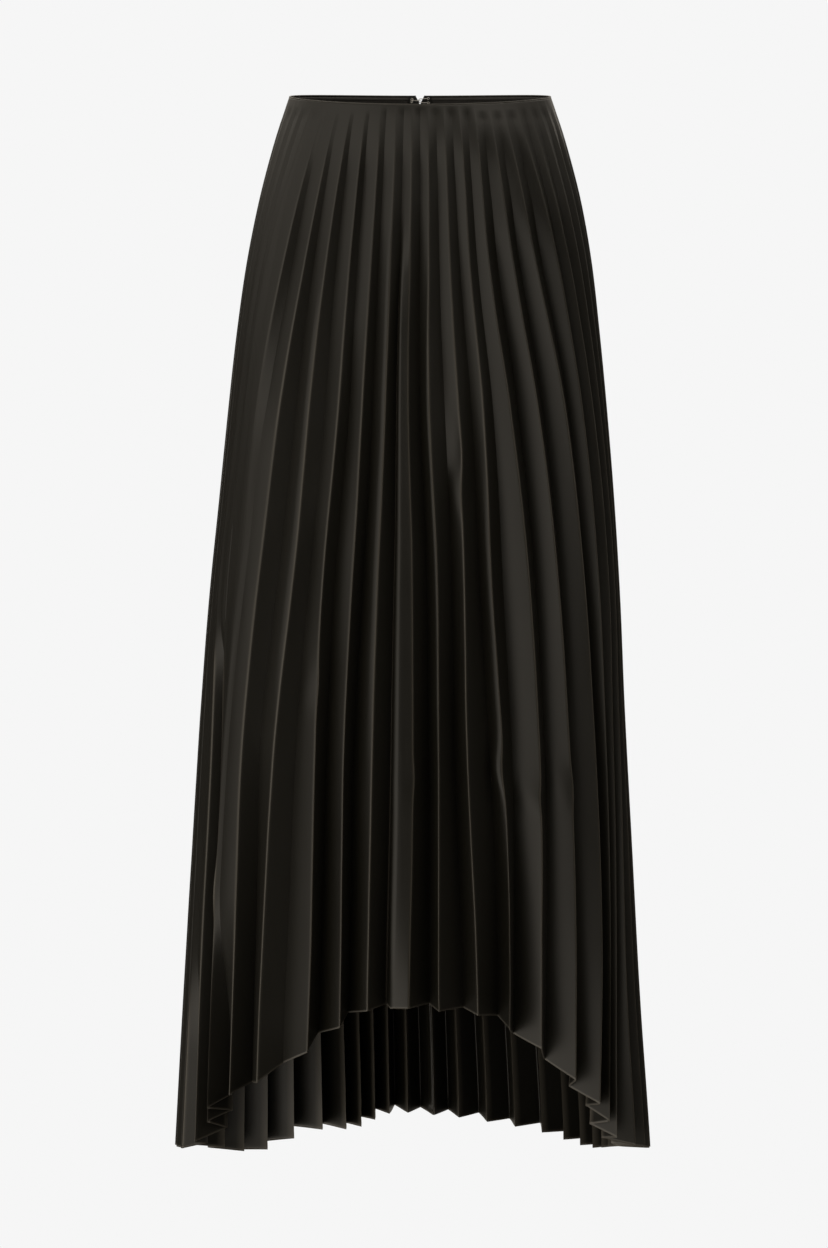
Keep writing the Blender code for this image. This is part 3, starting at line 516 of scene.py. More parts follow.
def slow_noise(rows, columns, waves, seed):
    """Smooth uneven waves down each column: sines of rising frequency and falling height."""
    draw = np.random.default_rng(seed)
    down = np.linspace(0, 2 * np.pi, rows)[:, None]
    total = np.zeros((rows, columns))
    for wave in waves:
        phase = draw.uniform(0, 2 * np.pi, columns)
        height = draw.uniform(*WAVE_HEIGHTS, columns) / np.sqrt(wave)
        total += height * np.sin(down * wave * draw.uniform(*WAVE_RATES, columns) + phase)
    return total / len(waves)


def row_shares(rows):
    """Shares of the length for the rows of a shell: even, with close rows at waist and hem."""
    close_top = np.array([0.0, 0.0012, 0.003, 0.0055, 0.009, 0.0135, 0.0185, 0.0245])
    close_hem = np.array([0.9925, 0.9945, 0.9975, 1.0])
    even = np.linspace(close_top[-1], close_hem[0], rows - len(close_top) - len(close_hem) + 2)
    return np.concatenate([close_top, even[1:-1], close_hem])


def across_face(shares):
    """Places across a face at each row, 0 at the valley and 1 at the crest, close at the crest."""
    from_crest = [np.array(steps)[::-1] for steps in (STEPS_AT_WAIST, STEPS_AT_HEM)]
    return 1 - from_crest[0] * (1 - shares[:, None]) - from_crest[1] * shares[:, None]


def face(valley, crest, outward, shares, bends):
    """Points across one face of a pleat, from its valley to its outer crease.

    A cubic Hermite curve, at both ends steeper than the straight line by the bends. Near the
    crease the points are pulled in along the outward direction by the parabola of a circle's
    top, so that the fold ends round. The last axis but one runs across. Also gives the distances
    from the crest and from the valley.
    """
    chord = (crest - valley)[:, :, :2]
    length = np.linalg.norm(chord, axis=2, keepdims=True)
    straight = unit(chord)
    growth = grown(UPPER_BEND, fade(shares, BEND_LENGTH))[:, None, None]
    bends = [bend * growth for bend in bends]
    start, finish = (length * unit(straight * (1 - abs(bend)) + outward * bend) for bend in bends)
    t = across_face(shares)[:, None, :, None]
    flat = ((2 * t**3 - 3 * t**2 + 1) * valley[:, :, None, :2]
            + (t**3 - 2 * t**2 + t) * start[:, :, None]
            + (3 * t**2 - 2 * t**3) * crest[:, :, None, :2]
            + (t**3 - t**2) * finish[:, :, None])
    from_crest = (1 - t) * length[:, :, None]
    sideways = np.sum(straight * outward, axis=2, keepdims=True)[:, :, None]
    radius = CREST_RADIUS * grown(CREST_AT_WAIST, ease(shares / CREST_GROWS))[:, None, None, None]
    blunt = np.clip(1 - from_crest / (2 * radius), 0.0, 1.0) ** 2 * radius
    flat = flat - outward[:, :, None] * blunt * np.abs(sideways)
    height = valley[:, :, None, 2:] * (1 - t) + crest[:, :, None, 2:] * t
    reach = np.concatenate([from_crest, t * length[:, :, None]], axis=3)
    return np.concatenate([flat, height], axis=3), reach


def panel(first, last, rows, seed):
    """Outer side of a panel: points, distances from crest and valley, mitres, how pressed, shares.

    Columns run from the inner crease at the first seam to that at the last one. A mitre is the
    way in from a crest for one unit of the cloth's thickness. Dents, each a bell curve along the
    length, and second creases, each a low roof across its face, are in the front alone. How pressed a
    fold is sets how strong the painted highlight on its crease is.
    """
    shares = row_shares(rows)
    outer, inner = creases(shares)
    dents, second_creases = (DENTS, SECOND_CREASES) if first == 0 else ((), ())
    begun = ease(shares / STRAY_START)[:, None]
    tangent = unit((np.roll(outer, -1, axis=1) - np.roll(outer, 1, axis=1))[:, :, :2])
    stray = WANDER * slow_noise(rows, PLEATS, WANDER_WAVES, seed) * begun
    outer[:, :, :2] += tangent * stray[:, :, None]
    for fold, at, reach, sideways, _ in dents:
        bell = np.exp(-((shares - at) / reach)**2)
        outer[:, fold, :2] += tangent[:, fold] * (sideways * bell)[:, None]
    crest = outer[:, first:last]
    outward = np.stack([tangent[:, :, 1], -tangent[:, :, 0]], axis=2)[:, first:last]

    opening = np.interp(shares * back_length(), NOTCH_DROPS, NOTCH_HALF_WIDTHS)
    left = inner[:, first:last].copy()
    right = inner[:, first + 1:last + 1].copy()
    for number, seam, beside in ((first, left[:, 0], crest[:, 0]), (last, right[:, -1], crest[:, -1])):
        if number == CENTRE_BACK:
            step = beside - seam
            seam += step * (opening / np.linalg.norm(step[:, :2], axis=1))[:, None]

    bends = list(zip(VALLEY_BEND, CREST_BEND))
    rising, rising_reach = face(left, crest, outward, shares, bends[0])
    falling, falling_reach = face(right, crest, outward, shares, bends[1])

    steps = across_face(shares)
    bow = 4 * steps * (1 - steps)
    for side, (points, valley) in enumerate(((rising, left), (falling, right))):
        chord = unit((crest - valley)[:, :, :2])
        normal = np.stack([chord[:, :, 1], -chord[:, :, 0]], axis=2) * (1 - 2 * side)
        wave = slow_noise(rows, last - first, SWELL_WAVES, seed + 10 + side)[:, :, None]
        swell = SWELL * begun[:, :, None] * wave * bow[:, None]
        points[..., :2] += normal[:, :, None] * swell[..., None]
        if side == 0:
            for fold, at, reach, _, out in dents:
                bump = np.exp(-((shares - at) / reach)**2)[:, None] * bow * out
                points[:, fold, :, :2] += normal[:, fold, None] * bump[..., None]

    for fold, place, height, length in second_creases:
        roof = np.minimum(steps / place, (1 - steps) / (1 - place)) * height
        roof *= (window(shares, length) * grown(SECOND_AT_WAIST, shares))[:, None]
        rising[:, fold, :, :2] += outward[:, fold, None] * roof[..., None]

    toward_left = unit((left - crest)[:, :, :2])
    toward_right = unit((right - crest)[:, :, :2])
    bisector = unit(toward_left + toward_right)
    sine = np.abs(bisector[:, :, 0] * toward_left[:, :, 1] - bisector[:, :, 1] * toward_left[:, :, 0])
    mitre = bisector / np.maximum(sine, LEAST_SINE)[:, :, None]
    # How sharply the fold is pressed, which weights the painted highlight on its crease.
    pressed = 1 - fade(sine, PRESSED)

    def joined(one, other):
        """The two faces of each pleat in a row, and the last valley to end with."""
        both = np.concatenate([one[:, :, :-1], other[:, :, :0:-1]], axis=2)
        flat = both.reshape(rows, -1, *both.shape[3:])
        return np.concatenate([flat, other[:, -1, :1]], axis=1)

    def by_column(values):
        """What holds for a crest, given to all the columns of its two faces."""
        wide = np.repeat(values, 2 * (steps.shape[1] - 1), axis=1)
        return np.concatenate([wide, wide[:, -1:]], axis=1)

    points = joined(rising, falling)
    reach = joined(rising_reach, falling_reach)
    return points, reach, by_column(mitre), by_column(pressed), shares


def grid_normals(points):
    """Unit normals of a grid of points: the cross product of the steps across and down."""
    across = np.gradient(points, axis=1)
    down = np.gradient(points, axis=0)
    return unit(np.cross(down, across))


def inner_side(points, distance, mitres, thickness):
    """Inner side of a shell: each point moved in, along the mitre beside a crest."""
    weight = np.exp(-distance / MITRE_REACH)[..., None]
    inwards = -grid_normals(points) * (1 - weight)
    inwards[..., :2] += mitres * weight
    return points + inwards * thickness[:, None, None]


def quad_grid(rows, columns, start=0, turned=False):
    """Corner indices of the quads of a grid, facing the side that sees across x down as out."""
    index = np.arange(rows * columns).reshape(rows, columns) + start
    corners = [index[:-1, :-1], index[1:, :-1], index[1:, 1:], index[:-1, 1:]]
    if turned:
        corners = corners[::-1]
    return np.stack([c.ravel() for c in corners], axis=1)


def make_piece(name, points, quads, finish, uv=None, attributes=None, smooth=True, creased=None):
    """Puts points and quads into the scene as one object with a finish.

    UV and attributes hold one value for each point. An edge between two creased points is sharp.
    """
    mesh = bpy.data.meshes.new(name)
    points = np.ascontiguousarray(points, dtype=np.float32).reshape(-1, 3)
    quads = np.ascontiguousarray(quads, dtype=np.int32)
    mesh.vertices.add(len(points))
    mesh.vertices.foreach_set("co", points.ravel())
    mesh.loops.add(quads.size)
    mesh.loops.foreach_set("vertex_index", quads.ravel())
    mesh.polygons.add(len(quads))
    mesh.polygons.foreach_set("loop_start", np.arange(0, quads.size, quads.shape[1], dtype=np.int32))
    mesh.update(calc_edges=True)
    if uv is not None:
        layer = mesh.uv_layers.new(name="cloth")
        layer.data.foreach_set("uv", np.asarray(uv, np.float32)[quads.ravel()].ravel())
    for key, values in (attributes or {}).items():
        layer = mesh.attributes.new(key, "FLOAT", "POINT")
        layer.data.foreach_set("value", np.asarray(values, np.float32).ravel())
    if smooth:
        mesh.shade_smooth()
    if creased is not None:
        ends = np.empty(2 * len(mesh.edges), dtype=np.int32)
        mesh.edges.foreach_get("vertices", ends)
        sharp = np.asarray(creased)[ends].reshape(-1, 2).all(axis=1)
        layer = mesh.attributes.new("sharp_edge", "BOOLEAN", "EDGE")
        layer.data.foreach_set("value", sharp)
    mesh.validate()
    mesh.materials.append(finish)
    piece = bpy.data.objects.new(name, mesh)
    bpy.context.scene.collection.objects.link(piece)
    return piece


def closed_shell(outside, inside):
    """Points and quads of the closed wall between two grids, the first on its outer side."""
    rows, columns = outside.shape[:2]
    points = np.concatenate([outside.reshape(-1, 3), inside.reshape(-1, 3)])
    size = rows * columns
    near = np.arange(size).reshape(rows, columns)
    far = near + size

    def strip(a, b):
        """Quads between two rows of point numbers."""
        return np.stack([a[:-1], a[1:], b[1:], b[:-1]], axis=1)

    quads = [quad_grid(rows, columns), quad_grid(rows, columns, size, turned=True),
             strip(near[0], far[0]), strip(far[-1], near[-1]),
             strip(far[:, 0], near[:, 0]), strip(near[:, -1], far[:, -1])]
    return points, np.concatenate(quads)


def cloth_uv(points):
    """Distances across and down the cloth in metres, measured along its rows and columns."""
    u = running_total(np.linalg.norm(np.diff(points, axis=1), axis=2), axis=1)
    v = running_total(np.linalg.norm(np.diff(points, axis=0), axis=2))
    u = u - u[:, u.shape[1] // 2][:, None]
    return np.stack([u, -v], axis=2).reshape(-1, 2)


def ring_quads(index):
    """Quads between neighbouring rings of point numbers. The last axis runs round a ring."""
    following = np.roll(index, -1, axis=-1)
    corners = [index[..., :-1, :], following[..., :-1, :], following[..., 1:, :], index[..., 1:, :]]
    return np.stack([corner.ravel() for corner in corners], axis=1)


def tube(path, radius, sides, side_hint):
    """Points and quads of a round tube along a path, its ends closed by collapsing a ring."""
    path = np.asarray(path, float)
    tangent = unit(np.gradient(path, axis=0))
    side = unit(np.cross(side_hint, tangent))
    other = np.cross(tangent, side)
    path, side, other = (np.concatenate([values[:1], values, values[-1:]])
                         for values in (path, side, other))
    radii = np.full(len(path), radius)
    radii[[0, -1]] *= COLLAPSED
    turn = np.linspace(0, 2 * np.pi, sides, endpoint=False)[:, None]
    rings = (path[:, None] + radii[:, None, None]
             * (np.cos(turn) * side[:, None] + np.sin(turn) * other[:, None]))
    index = np.arange(len(path) * sides).reshape(len(path), sides)
    return rings.reshape(-1, 3), ring_quads(index)


def merged(parts):
    """Points and quads of several meshes as one."""
    points = []
    quads = []
    count = 0
    for part_points, part_quads in parts:
        points.append(part_points)
        quads.append(part_quads + count)
        count += len(part_points)
    return np.concatenate(points), np.concatenate(quads)


def beads(centres, along, out, length, radius):
    """Small capsules, one at each centre: six-sided rings of four radii along the direction.

    Along and out are unit vectors, one pair for each centre.
    """
    centres, along, out = (np.asarray(values, float)[:, None, None] for values in (centres, along, out))
    across = np.cross(along, out)
    turn = np.linspace(0, 2 * np.pi, 6, endpoint=False)[:, None]
    place = np.array([-0.5, -0.36, 0.36, 0.5])[:, None, None] * length
    size = np.array([0.15, 1.0, 1.0, 0.15])[:, None, None] * radius
    rings = centres + along * place + size * (np.cos(turn) * across + np.sin(turn) * out)
    index = np.arange(len(centres) * 24).reshape(len(centres), 4, 6)
    caps = [index[:, 0][:, [0, 5, 4, 3]], index[:, 0][:, [0, 3, 2, 1]],
            index[:, 3][:, [0, 1, 2, 3]], index[:, 3][:, [0, 3, 4, 5]]]
    return rings.reshape(-1, 3), np.concatenate([ring_quads(index), *caps])


def evenly(path, spacing):
    """Points at even spacing along a path, with the unit direction of the path at each."""
    path = np.asarray(path, float)
    run = running_total(np.linalg.norm(np.diff(path, axis=0), axis=1))
    at = np.arange(spacing / 2, run[-1], spacing)
    points = np.stack([np.interp(at, run, path[:, axis]) for axis in range(3)], axis=1)
    return points, unit(np.gradient(points, axis=0))


def around(azimuths, drop, setback):
    """Points inside the skirt's outline: moved in by the setback, the drop below the edge."""
    azimuths, drop, setback = np.broadcast_arrays(azimuths, drop, setback)
    height = waist_height(azimuths) - drop
    x, y, away = on_outline(azimuths, height)
    return moved_in(x, y, height, away, setback)


def dress(piece, node=None, body="skirt"):
    """Fastens a piece to its body and hides the node that it stands in for."""
    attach(piece, body)
    if node is not None:
        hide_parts(node)


class Socket:
    """An output socket of a node. Python's operators on it add Math nodes."""

    def __init__(self, shading, output):
        self.shading = shading
        self.output = output

    def sibling(self, index):
        """Another output of the same node."""
        return Socket(self.shading, self.output.node.outputs[index])

    def math(self, operation, first, second):
        """A Math node on two values or sockets."""
        return self.shading.add("ShaderNodeMath", {"operation": operation}, {0: first, 1: second})

    def __add__(self, other):
        return self.math("ADD", self, other)

    def __radd__(self, other):
        return self.math("ADD", other, self)

    def __sub__(self, other):
        return self.math("SUBTRACT", self, other)

    def __rsub__(self, other):
        return self.math("SUBTRACT", other, self)

    def __mul__(self, other):
        return self.math("MULTIPLY", self, other)

    def __rmul__(self, other):
        return self.math("MULTIPLY", other, self)


class Shading:
    """A node tree under construction."""

    def __init__(self, tree):
        self.tree = tree

    def add(self, kind, settings=None, values=None, output=0):
        """Adds a node, makes its settings, then fills its sockets with values or links."""
        node = self.tree.nodes.new(kind)
        for key, value in (settings or {}).items():
            if key == "stops":
                set_stops(node.color_ramp, value)
            else:
                setattr(node, key, value)
        for key, value in (values or {}).items():
            if isinstance(value, Socket):
                self.tree.links.new(value.output, node.inputs[key])
            else:
                node.inputs[key].default_value = value
        return None if output is None else Socket(self, node.outputs[output])

    def step(self, value, low, high):
        """Smooth step from 0 at low to 1 at high, which may be the lower number."""
        limits = {"Value": value, "From Min": low, "From Max": high}
        return self.add("ShaderNodeMapRange", {"interpolation_type": "SMOOTHSTEP"}, limits)

    def mix(self, factor, first, second):
        """Colour that runs from the first to the second as the factor goes from 0 to 1."""
        return self.add("ShaderNodeMix", {"data_type": "RGBA"}, {0: factor, 6: first, 7: second}, 2)


def set_stops(ramp, stops):
    """Gives a ramp its stops: positions with grey values."""
    while len(ramp.elements) < len(stops):
        ramp.elements.new(0.5)
    for element, (position, grey) in zip(ramp.elements, stops):
        element.position = position
        element.color = (grey, grey, grey, 1)


class Finish(Shading):
    """A Principled material under construction."""

    def __init__(self, name, roughness=0.5, metallic=0.0, colour=None, constants=None):
        self.material = bpy.data.materials.new(name)
        self.material.use_nodes = True
        super().__init__(self.material.node_tree)
        self.shader = self.tree.nodes["Principled BSDF"]
        self.shader.inputs["Roughness"].default_value = roughness
        self.shader.inputs["Metallic"].default_value = metallic
        if colour is not None:
            self.shader.inputs["Base Color"].default_value = (*colour, 1.0)
        for key, value in (constants or {}).items():
            self.shader.inputs[key].default_value = value

    def feed(self, **sockets):
        """Links sockets of the shader, named with _ for a space."""
        for key, value in sockets.items():
            self.tree.links.new(value.output, self.shader.inputs[key.replace("_", " ")])

    def bump(self, height, distance, strength=1.0, below=None):
        """Normal bent by a height, on top of the bump below."""
        values = {"Height": height, "Distance": distance, "Strength": strength}
        if below is not None:
            values["Normal"] = below
        return self.add("ShaderNodeBump", None, values)


def satin_finish():
    """Black satin: a soft warm sheen, fine twill lines, slow streaks down the warp and a painted
    highlight along the creases.

    The attribute crest is 1 on a pressed edge and falls to 0 beside it: outside on the outer
    creases, inside on the inner ones. Where it is 1 the base colour turns to a painted highlight, a
    lighter colour standing in for the light that the pressed edges catch.
    """
    finish = Finish("black_satin")
    cloth = finish.add("ShaderNodeUVMap", {"uv_map": "cloth"})
    crest = finish.add("ShaderNodeAttribute", {"attribute_name": "crest"}, output=2)
    place = finish.add("ShaderNodeTexCoord", output=3)
    stretched = finish.add("ShaderNodeMapping", None, {"Vector": cloth, "Scale": (420.0, 9.0, 1.0)})
    streaks = finish.add("ShaderNodeTexNoise", None, {"Vector": stretched, "Scale": 1.0, "Detail": 2.0})
    blotches = finish.add("ShaderNodeTexNoise", None, {"Vector": place, "Scale": 16.0, "Detail": 2.0})
    dark = (0.0048, 0.0043, 0.0026, 1.0)
    light = (0.0068, 0.0061, 0.0040, 1.0)
    # Painted highlight: a lighter colour mixed into the base colour along the pressed edges, standing
    # in for the light they catch.
    edge = (0.0850, 0.0770, 0.0640, 1.0)
    body = finish.mix(streaks, dark, light)
    highlight_share = 0.8
    finish.feed(Base_Color=finish.mix(crest * highlight_share, body, edge))
    finish.feed(Roughness=0.37 + streaks * 0.05 + blotches * 0.04)
    twill = finish.add("ShaderNodeTexWave", {"wave_type": "BANDS", "bands_direction": "DIAGONAL"},
                       {"Vector": cloth, "Scale": 900.0, "Distortion": 0.0})
    slubs = finish.bump(streaks, 0.00004, 0.6)
    soft = finish.bump(blotches, 0.0006, 0.35, slubs)
    finish.feed(Normal=finish.bump(twill, 0.00001, 0.4, soft))
    return finish.material


def woven_finish(name, dark, light, threads, roughness):
    """Matt woven cloth or tape: threads crossing at the given number to the metre.

    A wave texture has about three waves to a unit of its scale, and a wave is two threads.
    """
    finish = Finish(name, roughness=roughness)
    place = finish.add("ShaderNodeTexCoord", output=3)
    rows, columns = (
        finish.add("ShaderNodeTexWave", {"wave_type": "BANDS", "bands_direction": direction},
                   {"Vector": place, "Scale": threads / 6.0, "Distortion": 0.4})
        for direction in ("Z", "X"))
    speckle = finish.add("ShaderNodeTexNoise", None, {"Vector": place, "Scale": 300.0, "Detail": 2.0})
    weave = rows * columns
    finish.feed(Base_Color=finish.mix(weave * 0.6 + speckle * 0.4, (*dark, 1.0), (*light, 1.0)))
    finish.feed(Normal=finish.bump(weave, 0.00006, 0.6))
    return finish.material


def metal_finish(name, colour, worn, roughness, metallic):
    """Metal with fine brushing and slightly worn places."""
    finish = Finish(name, roughness=roughness, metallic=metallic)
    place = finish.add("ShaderNodeTexCoord", output=3)
    wear = finish.add("ShaderNodeTexNoise", None, {"Vector": place, "Scale": 700.0, "Detail": 3.0})
    patches = finish.add("ShaderNodeValToRGB", {"stops": ((0.45, 0.0), (0.75, 1.0))}, {"Fac": wear})
    finish.feed(Base_Color=finish.mix(patches, (*colour, 1.0), (*worn, 1.0)))
    finish.feed(Roughness=wear * 0.15 + (roughness - 0.05))
    finish.feed(Normal=finish.bump(wear, 0.00003, 0.3))
    return finish.material


def plain_finish(name, colour, roughness, grain=400.0):
    """Nylon or thread: nearly even, with a fine grain in its colour and roughness."""
    finish = Finish(name, roughness=roughness)
    place = finish.add("ShaderNodeTexCoord", output=3)
    noise = finish.add("ShaderNodeTexNoise", None, {"Vector": place, "Scale": grain, "Detail": 2.0})
    lighter = tuple(c * 1.5 for c in colour)
    finish.feed(Base_Color=finish.mix(noise, (*colour, 1.0), (*lighter, 1.0)))
    finish.feed(Roughness=noise * 0.12 + (roughness - 0.06))
    return finish.material


def set_camera():
    """Camera level with the hips, 3.2 m away, looking a little down, as the photograph's."""
    data = bpy.data.cameras.new("camera")
    data.sensor_fit = "VERTICAL"
    data.sensor_height = SENSOR_HEIGHT
    data.lens = SENSOR_HEIGHT * FOCAL_PIXELS / PHOTO_HEIGHT
    camera = bpy.data.objects.new("camera", data)
    camera.location = CAMERA_PLACE
    camera.rotation_euler = (math.radians(90 - CAMERA_DOWN), 0.0, 0.0)
    bpy.context.scene.collection.objects.link(camera)
    bpy.context.scene.camera = camera


def set_studio():
    """Studio around the skirt: a broad soft light on the left, a weaker one on the right.

    The light that reaches the skirt depends on its direction alone. Its azimuth is 0 towards
    the camera and grows to the right. The camera itself sees an even pale ground.
    """
    world = bpy.data.worlds.new("studio")
    bpy.context.scene.world = world
    world.use_nodes = True
    world.node_tree.nodes.clear()
    studio = Shading(world.node_tree)
    way = studio.add("ShaderNodeTexCoord", output=0)
    split = studio.add("ShaderNodeSeparateXYZ", None, {0: way})
    x, y, z = split, split.sibling(1), split.sibling(2)
    azimuth = studio.add("ShaderNodeMath", {"operation": "ARCTAN2"}, {0: x, 1: 0 - y})
    azimuth = azimuth * math.degrees(1)
    elevation = studio.add("ShaderNodeMath", {"operation": "ARCSINE"}, {0: z}) * math.degrees(1)
    total = studio.step(elevation, *OVERHEAD_FROM) * OVERHEAD_LIGHT + AMBIENT
    for level, azimuths, elevations in SOFTBOXES:
        across = studio.step(azimuth, *azimuths[:2]) * studio.step(azimuth, *azimuths[:1:-1])
        upright = studio.step(elevation, *elevations[:2]) * studio.step(elevation, *elevations[:1:-1])
        total = total + across * upright * level
    lit = studio.add("ShaderNodeBackground", None, {"Color": (*LIGHT_COLOUR, 1.0), "Strength": total})
    seen = studio.add("ShaderNodeBackground", None, {"Color": (*GROUND_COLOUR, 1.0), "Strength": 1.0})
    direct = studio.add("ShaderNodeLightPath")
    both = studio.add("ShaderNodeMixShader", None, {0: direct, 1: lit, 2: seen})
    studio.add("ShaderNodeOutputWorld", None, {0: both}, output=None)
    bpy.context.scene.view_settings.view_transform = "Standard"


def lay_floor():
    """Pale floor just under the hem, as bright as the ground behind."""
    corners = np.array([(x * FLOOR_HALF, y * FLOOR_HALF, FLOOR_LEVEL)
                        for x, y in ((-1, -1), (1, -1), (1, 1), (-1, 1))])
    finish = Finish("pale_floor", roughness=0.9, colour=(0.0, 0.0, 0.0),
                    constants={"Emission Strength": 1.0, "Emission Color": (*GROUND_COLOUR, 1.0),
                               "Specular IOR Level": 0.0})
    floor = make_piece("floor", corners, np.array([[0, 1, 2, 3]]), finish.material, smooth=False)
    floor.visible_diffuse = False
    floor.visible_glossy = False
    floor.visible_shadow = False


def skirt_panels(satin):
    """The front and the two halves of the back as thin shells on the creases.

    The attribute crest falls from 1 as exp(-distance / EDGE_GLINT) beside an outer crease on the
    outside and an inner one on the inside, less where a fold lies flat, and is 1 along the hem.
    It sets where the satin takes its painted highlight.
    """
    for name, first, last, rows, seed, flat, area in PANELS:
        points, reach, mitres, pressed, shares = panel(first, last, rows, seed)
        above_hem = (1 - shares) * back_length()
        turned = 1 - ease(above_hem / HEM_TURN - 0.5)
        inside = inner_side(points, reach[..., 0], mitres, SATIN + (HEM_CLOTH - SATIN) * turned)
        # Painted highlight: where the satin takes a lighter colour along the creases and the hem,
        # standing in for the light they catch.
        strength = ease(shares / GLINT_START) * grown(GLINT_UPPER, fade(shares, GLINT_GROWS))
        glint = np.exp(-reach / EDGE_GLINT) * (strength[:, None] * pressed)[..., None]
        glint = np.maximum(glint, (1 - ease(above_hem / HEM_GLINT))[:, None, None])
        across = 2 * (len(STEPS_AT_HEM) - 1)
        valley = np.broadcast_to(np.arange(points.shape[1]) % across == 0, points.shape[:2])
        piece = make_piece(f"{name}_satin", *closed_shell(points, inside), satin,
                           np.tile(cloth_uv(points), (2, 1)), {"crest": glint.transpose(2, 0, 1)},
                           creased=np.tile(valley.ravel(), 2))
        dress(piece, name)


def waist_edge(satin):
    """The satin's turned edge at the waist: a round tube along the outline, open at the notch."""
    end = math.degrees(NOTCH_HALF_WIDTHS[0] / SECTIONS[0][1])
    azimuths = np.linspace(-180 + end, 180 - end, EDGE_STEPS)
    path = around(azimuths, -EDGE_LIFT, EDGE_RADIUS * EDGE_INSET)
    points, quads = tube(path, EDGE_RADIUS, EDGE_SIDES, (0.0, 0.0, 1.0))
    rings = len(points) // EDGE_SIDES
    run = np.repeat(np.arange(rings) * EDGE_PITCH, EDGE_SIDES)
    girth = np.tile(np.arange(EDGE_SIDES) * 2 * np.pi * EDGE_RADIUS / EDGE_SIDES, rings)
    # The crest attribute gives this edge part of the satin's painted highlight.
    piece = make_piece("waist_edge", points, quads, satin, np.stack([run, girth], axis=1),
                       {"crest": np.full(len(points), EDGE_SHEEN)})
    dress(piece)


def facing_band(cloth, thread):
    """The band inside the waist, with a seam under the edge, a hem below and two rows of stitches.

    Its outer side is the outline moved in by the facing's setback at each drop. The inner side is
    a thickness further in, with a ridge at the seam and at the hem, and a slow wave all round.
    """
    half = math.degrees(FACING_GAP / SECTIONS[1][1])
    azimuths = np.linspace(-180 + half, 180 - half, FACING_COLUMNS)
    drops = np.array(FACING_ROWS)[:, None]
    setback = np.interp(drops, FACING_DROPS, FACING_SETBACKS)
    ridge_drop, ridge_width = FACING_SEAM
    hem_drop, hem_width, hem_share = FACING_HEM
    ridge = np.exp(-((drops - ridge_drop) / ridge_width)**2)
    ridge = ridge + hem_share * ease((drops - hem_drop) / hem_width)
    wave = slow_noise(FACING_COLUMNS, 1, FACING_WAVES, seed=9)[None, :, 0] * FACING_WAVE
    wave = wave * ease(drops / FACING_WAVE_DROP)
    outside = around(azimuths, drops, setback)
    inside = around(azimuths, drops,
                    setback + FACING_THICKNESS * (1 + FACING_RIDGE * ridge) + wave)
    band = make_piece("waist_facing_band", *closed_shell(outside[:, ::-1], inside[:, ::-1]), cloth)
    dress(band, "waist_facing")

    spacing, length, radius = FACING_STITCH
    parts = []
    for drop, rise in FACING_STITCHES:
        off = np.interp(drop, FACING_DROPS, FACING_SETBACKS) + FACING_THICKNESS + rise
        centres, along = evenly(around(azimuths, drop, off), spacing)
        parts.append(beads(centres, along, unit(centres * (-1, -1, 0)), length, radius))
    sewing = make_piece("facing_stitches", *merged(parts), thread)
    dress(sewing)


def back_seam(satin, thread):
    """Inside the centre back seam: the allowance pressed to one side and the line of stitches."""
    shares = np.linspace(*ALLOWANCE_LENGTH, ALLOWANCE_ROWS)
    outer, inner = creases(shares)
    ridge = inner[:, CENTRE_BACK]
    sideways = unit((outer[:, CENTRE_BACK] - ridge) * (1, 1, 0))
    inwards = np.stack([-sideways[:, 1], sideways[:, 0], np.zeros(len(shares))], axis=1)
    inwards *= np.sign(-inwards[:, 1:2])
    gap, strays = ALLOWANCE_GAP
    lift = (gap + strays * slow_noise(ALLOWANCE_ROWS, 1, ALLOWANCE_WAVES, seed=12))[:, :, None]
    lift = lift + np.array(ALLOWANCE_LIFTS)[:, None]
    near = ridge[:, None] + sideways[:, None] * np.array(ALLOWANCE_PLACES)[:, None]
    near = near + inwards[:, None] * lift
    far = near - inwards[:, None] * SATIN
    points, quads = closed_shell(near, far)
    uv = np.concatenate([cloth_uv(near), cloth_uv(far)])
    strip = make_piece("seam_allowance", points, quads, satin, uv, {"crest": np.zeros(len(points))})
    dress(strip)
    beside, off = SEAM_LINE
    spacing, length, radius = SEAM_STITCH
    centres, along = evenly(ridge + sideways * beside + inwards * off, spacing)
    forwards = np.tile((0.0, -1.0, 0.0), (len(centres), 1))
    sewing = make_piece("seam_stitches", *beads(centres, along, forwards, length, radius), thread)
    dress(sewing)


def node_points(node):
    """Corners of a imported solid, in metres."""
    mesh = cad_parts[node].data
    points = np.empty(3 * len(mesh.vertices), dtype=np.float32)
    mesh.vertices.foreach_get("co", points)
    return points.reshape(-1, 3).astype(float)


def zip_teeth(nylon):
    """The closed coil: short bars across the middle of the solid coil, over a core cord."""
    corners = node_points("zip_coil")
    levels = np.unique(np.round(corners[:, 2], 4))
    middle = np.array([corners[np.abs(corners[:, 2] - level) < SAME_LEVEL].mean(axis=0)
                       for level in levels])
    low, high = corners[:, 2].min(), corners[:, 2].max()
    height = np.arange(low + COIL_ENDS[0], high - COIL_ENDS[1], TOOTH_PITCH)
    x, y = (np.interp(height, middle[:, 2], middle[:, axis]) for axis in (0, 1))
    centres = np.stack([x, y - COIL_INSET, height], axis=1)
    slant = np.where(np.arange(len(height)) % 2, TOOTH_SLANT, -TOOTH_SLANT)
    along = unit(np.stack([np.ones(len(height)), np.zeros(len(height)), slant], axis=1))
    out = unit(np.cross(np.cross(along, (0.0, -1.0, 0.0)), along))
    core = tube(centres, CORE_RADIUS, 6, (1.0, 0.0, 0.0))
    teeth = make_piece("zip_teeth", *merged([beads(centres, along, out, *TOOTH), core]), nylon)
    dress(teeth, "zip_coil")


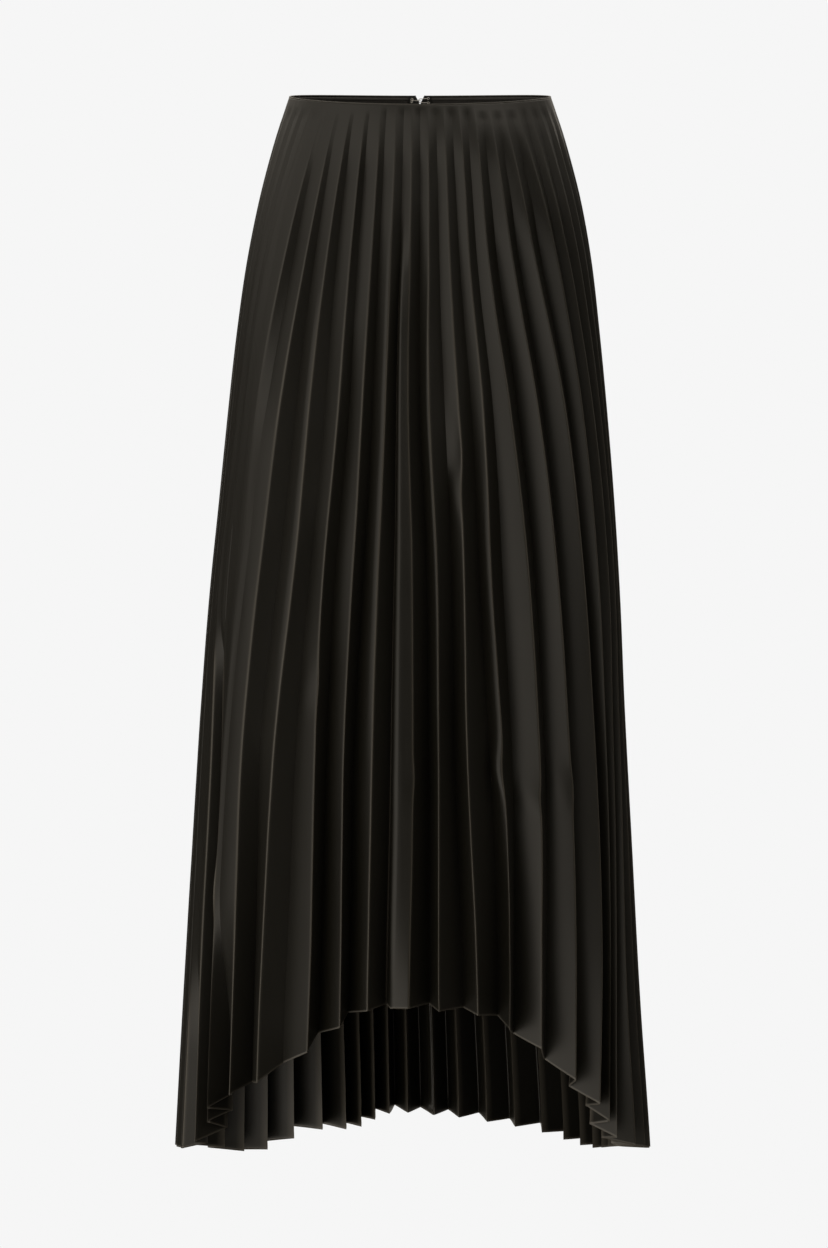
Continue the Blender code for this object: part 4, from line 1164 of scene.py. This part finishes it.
def hook_and_eye(nickel):
    """Wire hook in its eye, each a round wire that ends in two small loops for the thread."""
    eye_y = (node_points("waist_eye")[:, 1].min() + node_points("waist_eye")[:, 1].max()) / 2
    circle = np.linspace(0.0, 2 * np.pi, ROUND_POINTS)
    turn = np.linspace(-0.5, 0.5, BEND_POINTS) * np.pi
    bend = np.stack([HOOK_X + HOOK_BEND * np.cos(turn), eye_y + HOOK_BEND * np.sin(turn),
                     np.full(BEND_POINTS, HOOK_LEVEL)], axis=1)
    shank = [(x, eye_y - HOOK_BEND, HOOK_LEVEL) for x in np.linspace(*HOOK_SHANK, SHANK_POINTS)]
    tip = [(x, eye_y + HOOK_BEND * TIP_CLOSED, HOOK_LEVEL) for x in HOOK_TIP]
    hook = [tube(np.concatenate([shank, bend, tip]), WIRE_RADIUS, WIRE_SIDES, (0.0, 0.0, 1.0))]
    arc = np.linspace(0.5, 1.5, ROUND_POINTS) * np.pi
    loop = np.stack([EYE_X + EYE_RADIUS * np.cos(arc), np.full(ROUND_POINTS, eye_y),
                     HOOK_LEVEL + EYE_RADIUS * np.sin(arc)], axis=1)
    upper = [(x, eye_y, HOOK_LEVEL + off) for x, off in EYE_LEGS]
    lower = [(x, eye_y, HOOK_LEVEL - off) for x, off in EYE_LEGS[::-1]]
    eye = [tube(np.concatenate([upper, loop, lower]), WIRE_RADIUS, WIRE_SIDES, (0.0, 1.0, 0.0))]
    for parts, (x, off), y in ((hook, HOOK_LOOPS, eye_y - HOOK_BEND), (eye, EYE_LOOPS, eye_y)):
        for z in (HOOK_LEVEL - off, HOOK_LEVEL + off):
            ring = np.stack([x + LOOP_RADIUS * np.cos(circle), np.full(ROUND_POINTS, y),
                             z + LOOP_RADIUS * np.sin(circle)], axis=1)
            parts.append(tube(ring, WIRE_RADIUS * LOOP_WIRE, WIRE_SIDES, (0.0, 1.0, 0.0)))
    dress(make_piece("wire_hook", *merged(hook), nickel), "waist_hook")
    dress(make_piece("wire_eye", *merged(eye), nickel), "waist_eye")


def main():
    """Camera, light and floor, then the panels and the small pieces, each in its finish."""
    set_camera()
    set_studio()
    lay_floor()
    satin = satin_finish()
    skirt_panels(satin)
    tape = woven_finish("black_tape", (0.008, 0.008, 0.008), (0.020, 0.020, 0.020), 1800, 0.8)
    facing = woven_finish("black_facing", (0.012, 0.011, 0.010), (0.030, 0.028, 0.026), 2400, 0.6)
    enamel = metal_finish("black_enamel", (0.015, 0.014, 0.013), (0.08, 0.075, 0.07), 0.32, 0.6)
    nickel = metal_finish("nickel_wire", (0.62, 0.61, 0.59), (0.50, 0.48, 0.45), 0.25, 1.0)
    nylon = plain_finish("black_nylon", (0.012, 0.012, 0.012), 0.4)
    thread = plain_finish("black_thread", (0.014, 0.013, 0.012), 0.6)
    waist_edge(satin)
    facing_band(facing, thread)
    back_seam(satin, thread)
    zip_teeth(nylon)
    hook_and_eye(nickel)
    for node, finish in (("zip_tape_left", tape), ("zip_tape_right", tape),
                         ("zip_slider", enamel), ("zip_pull", enamel)):
        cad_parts[node].material_slots[0].material = finish


main()
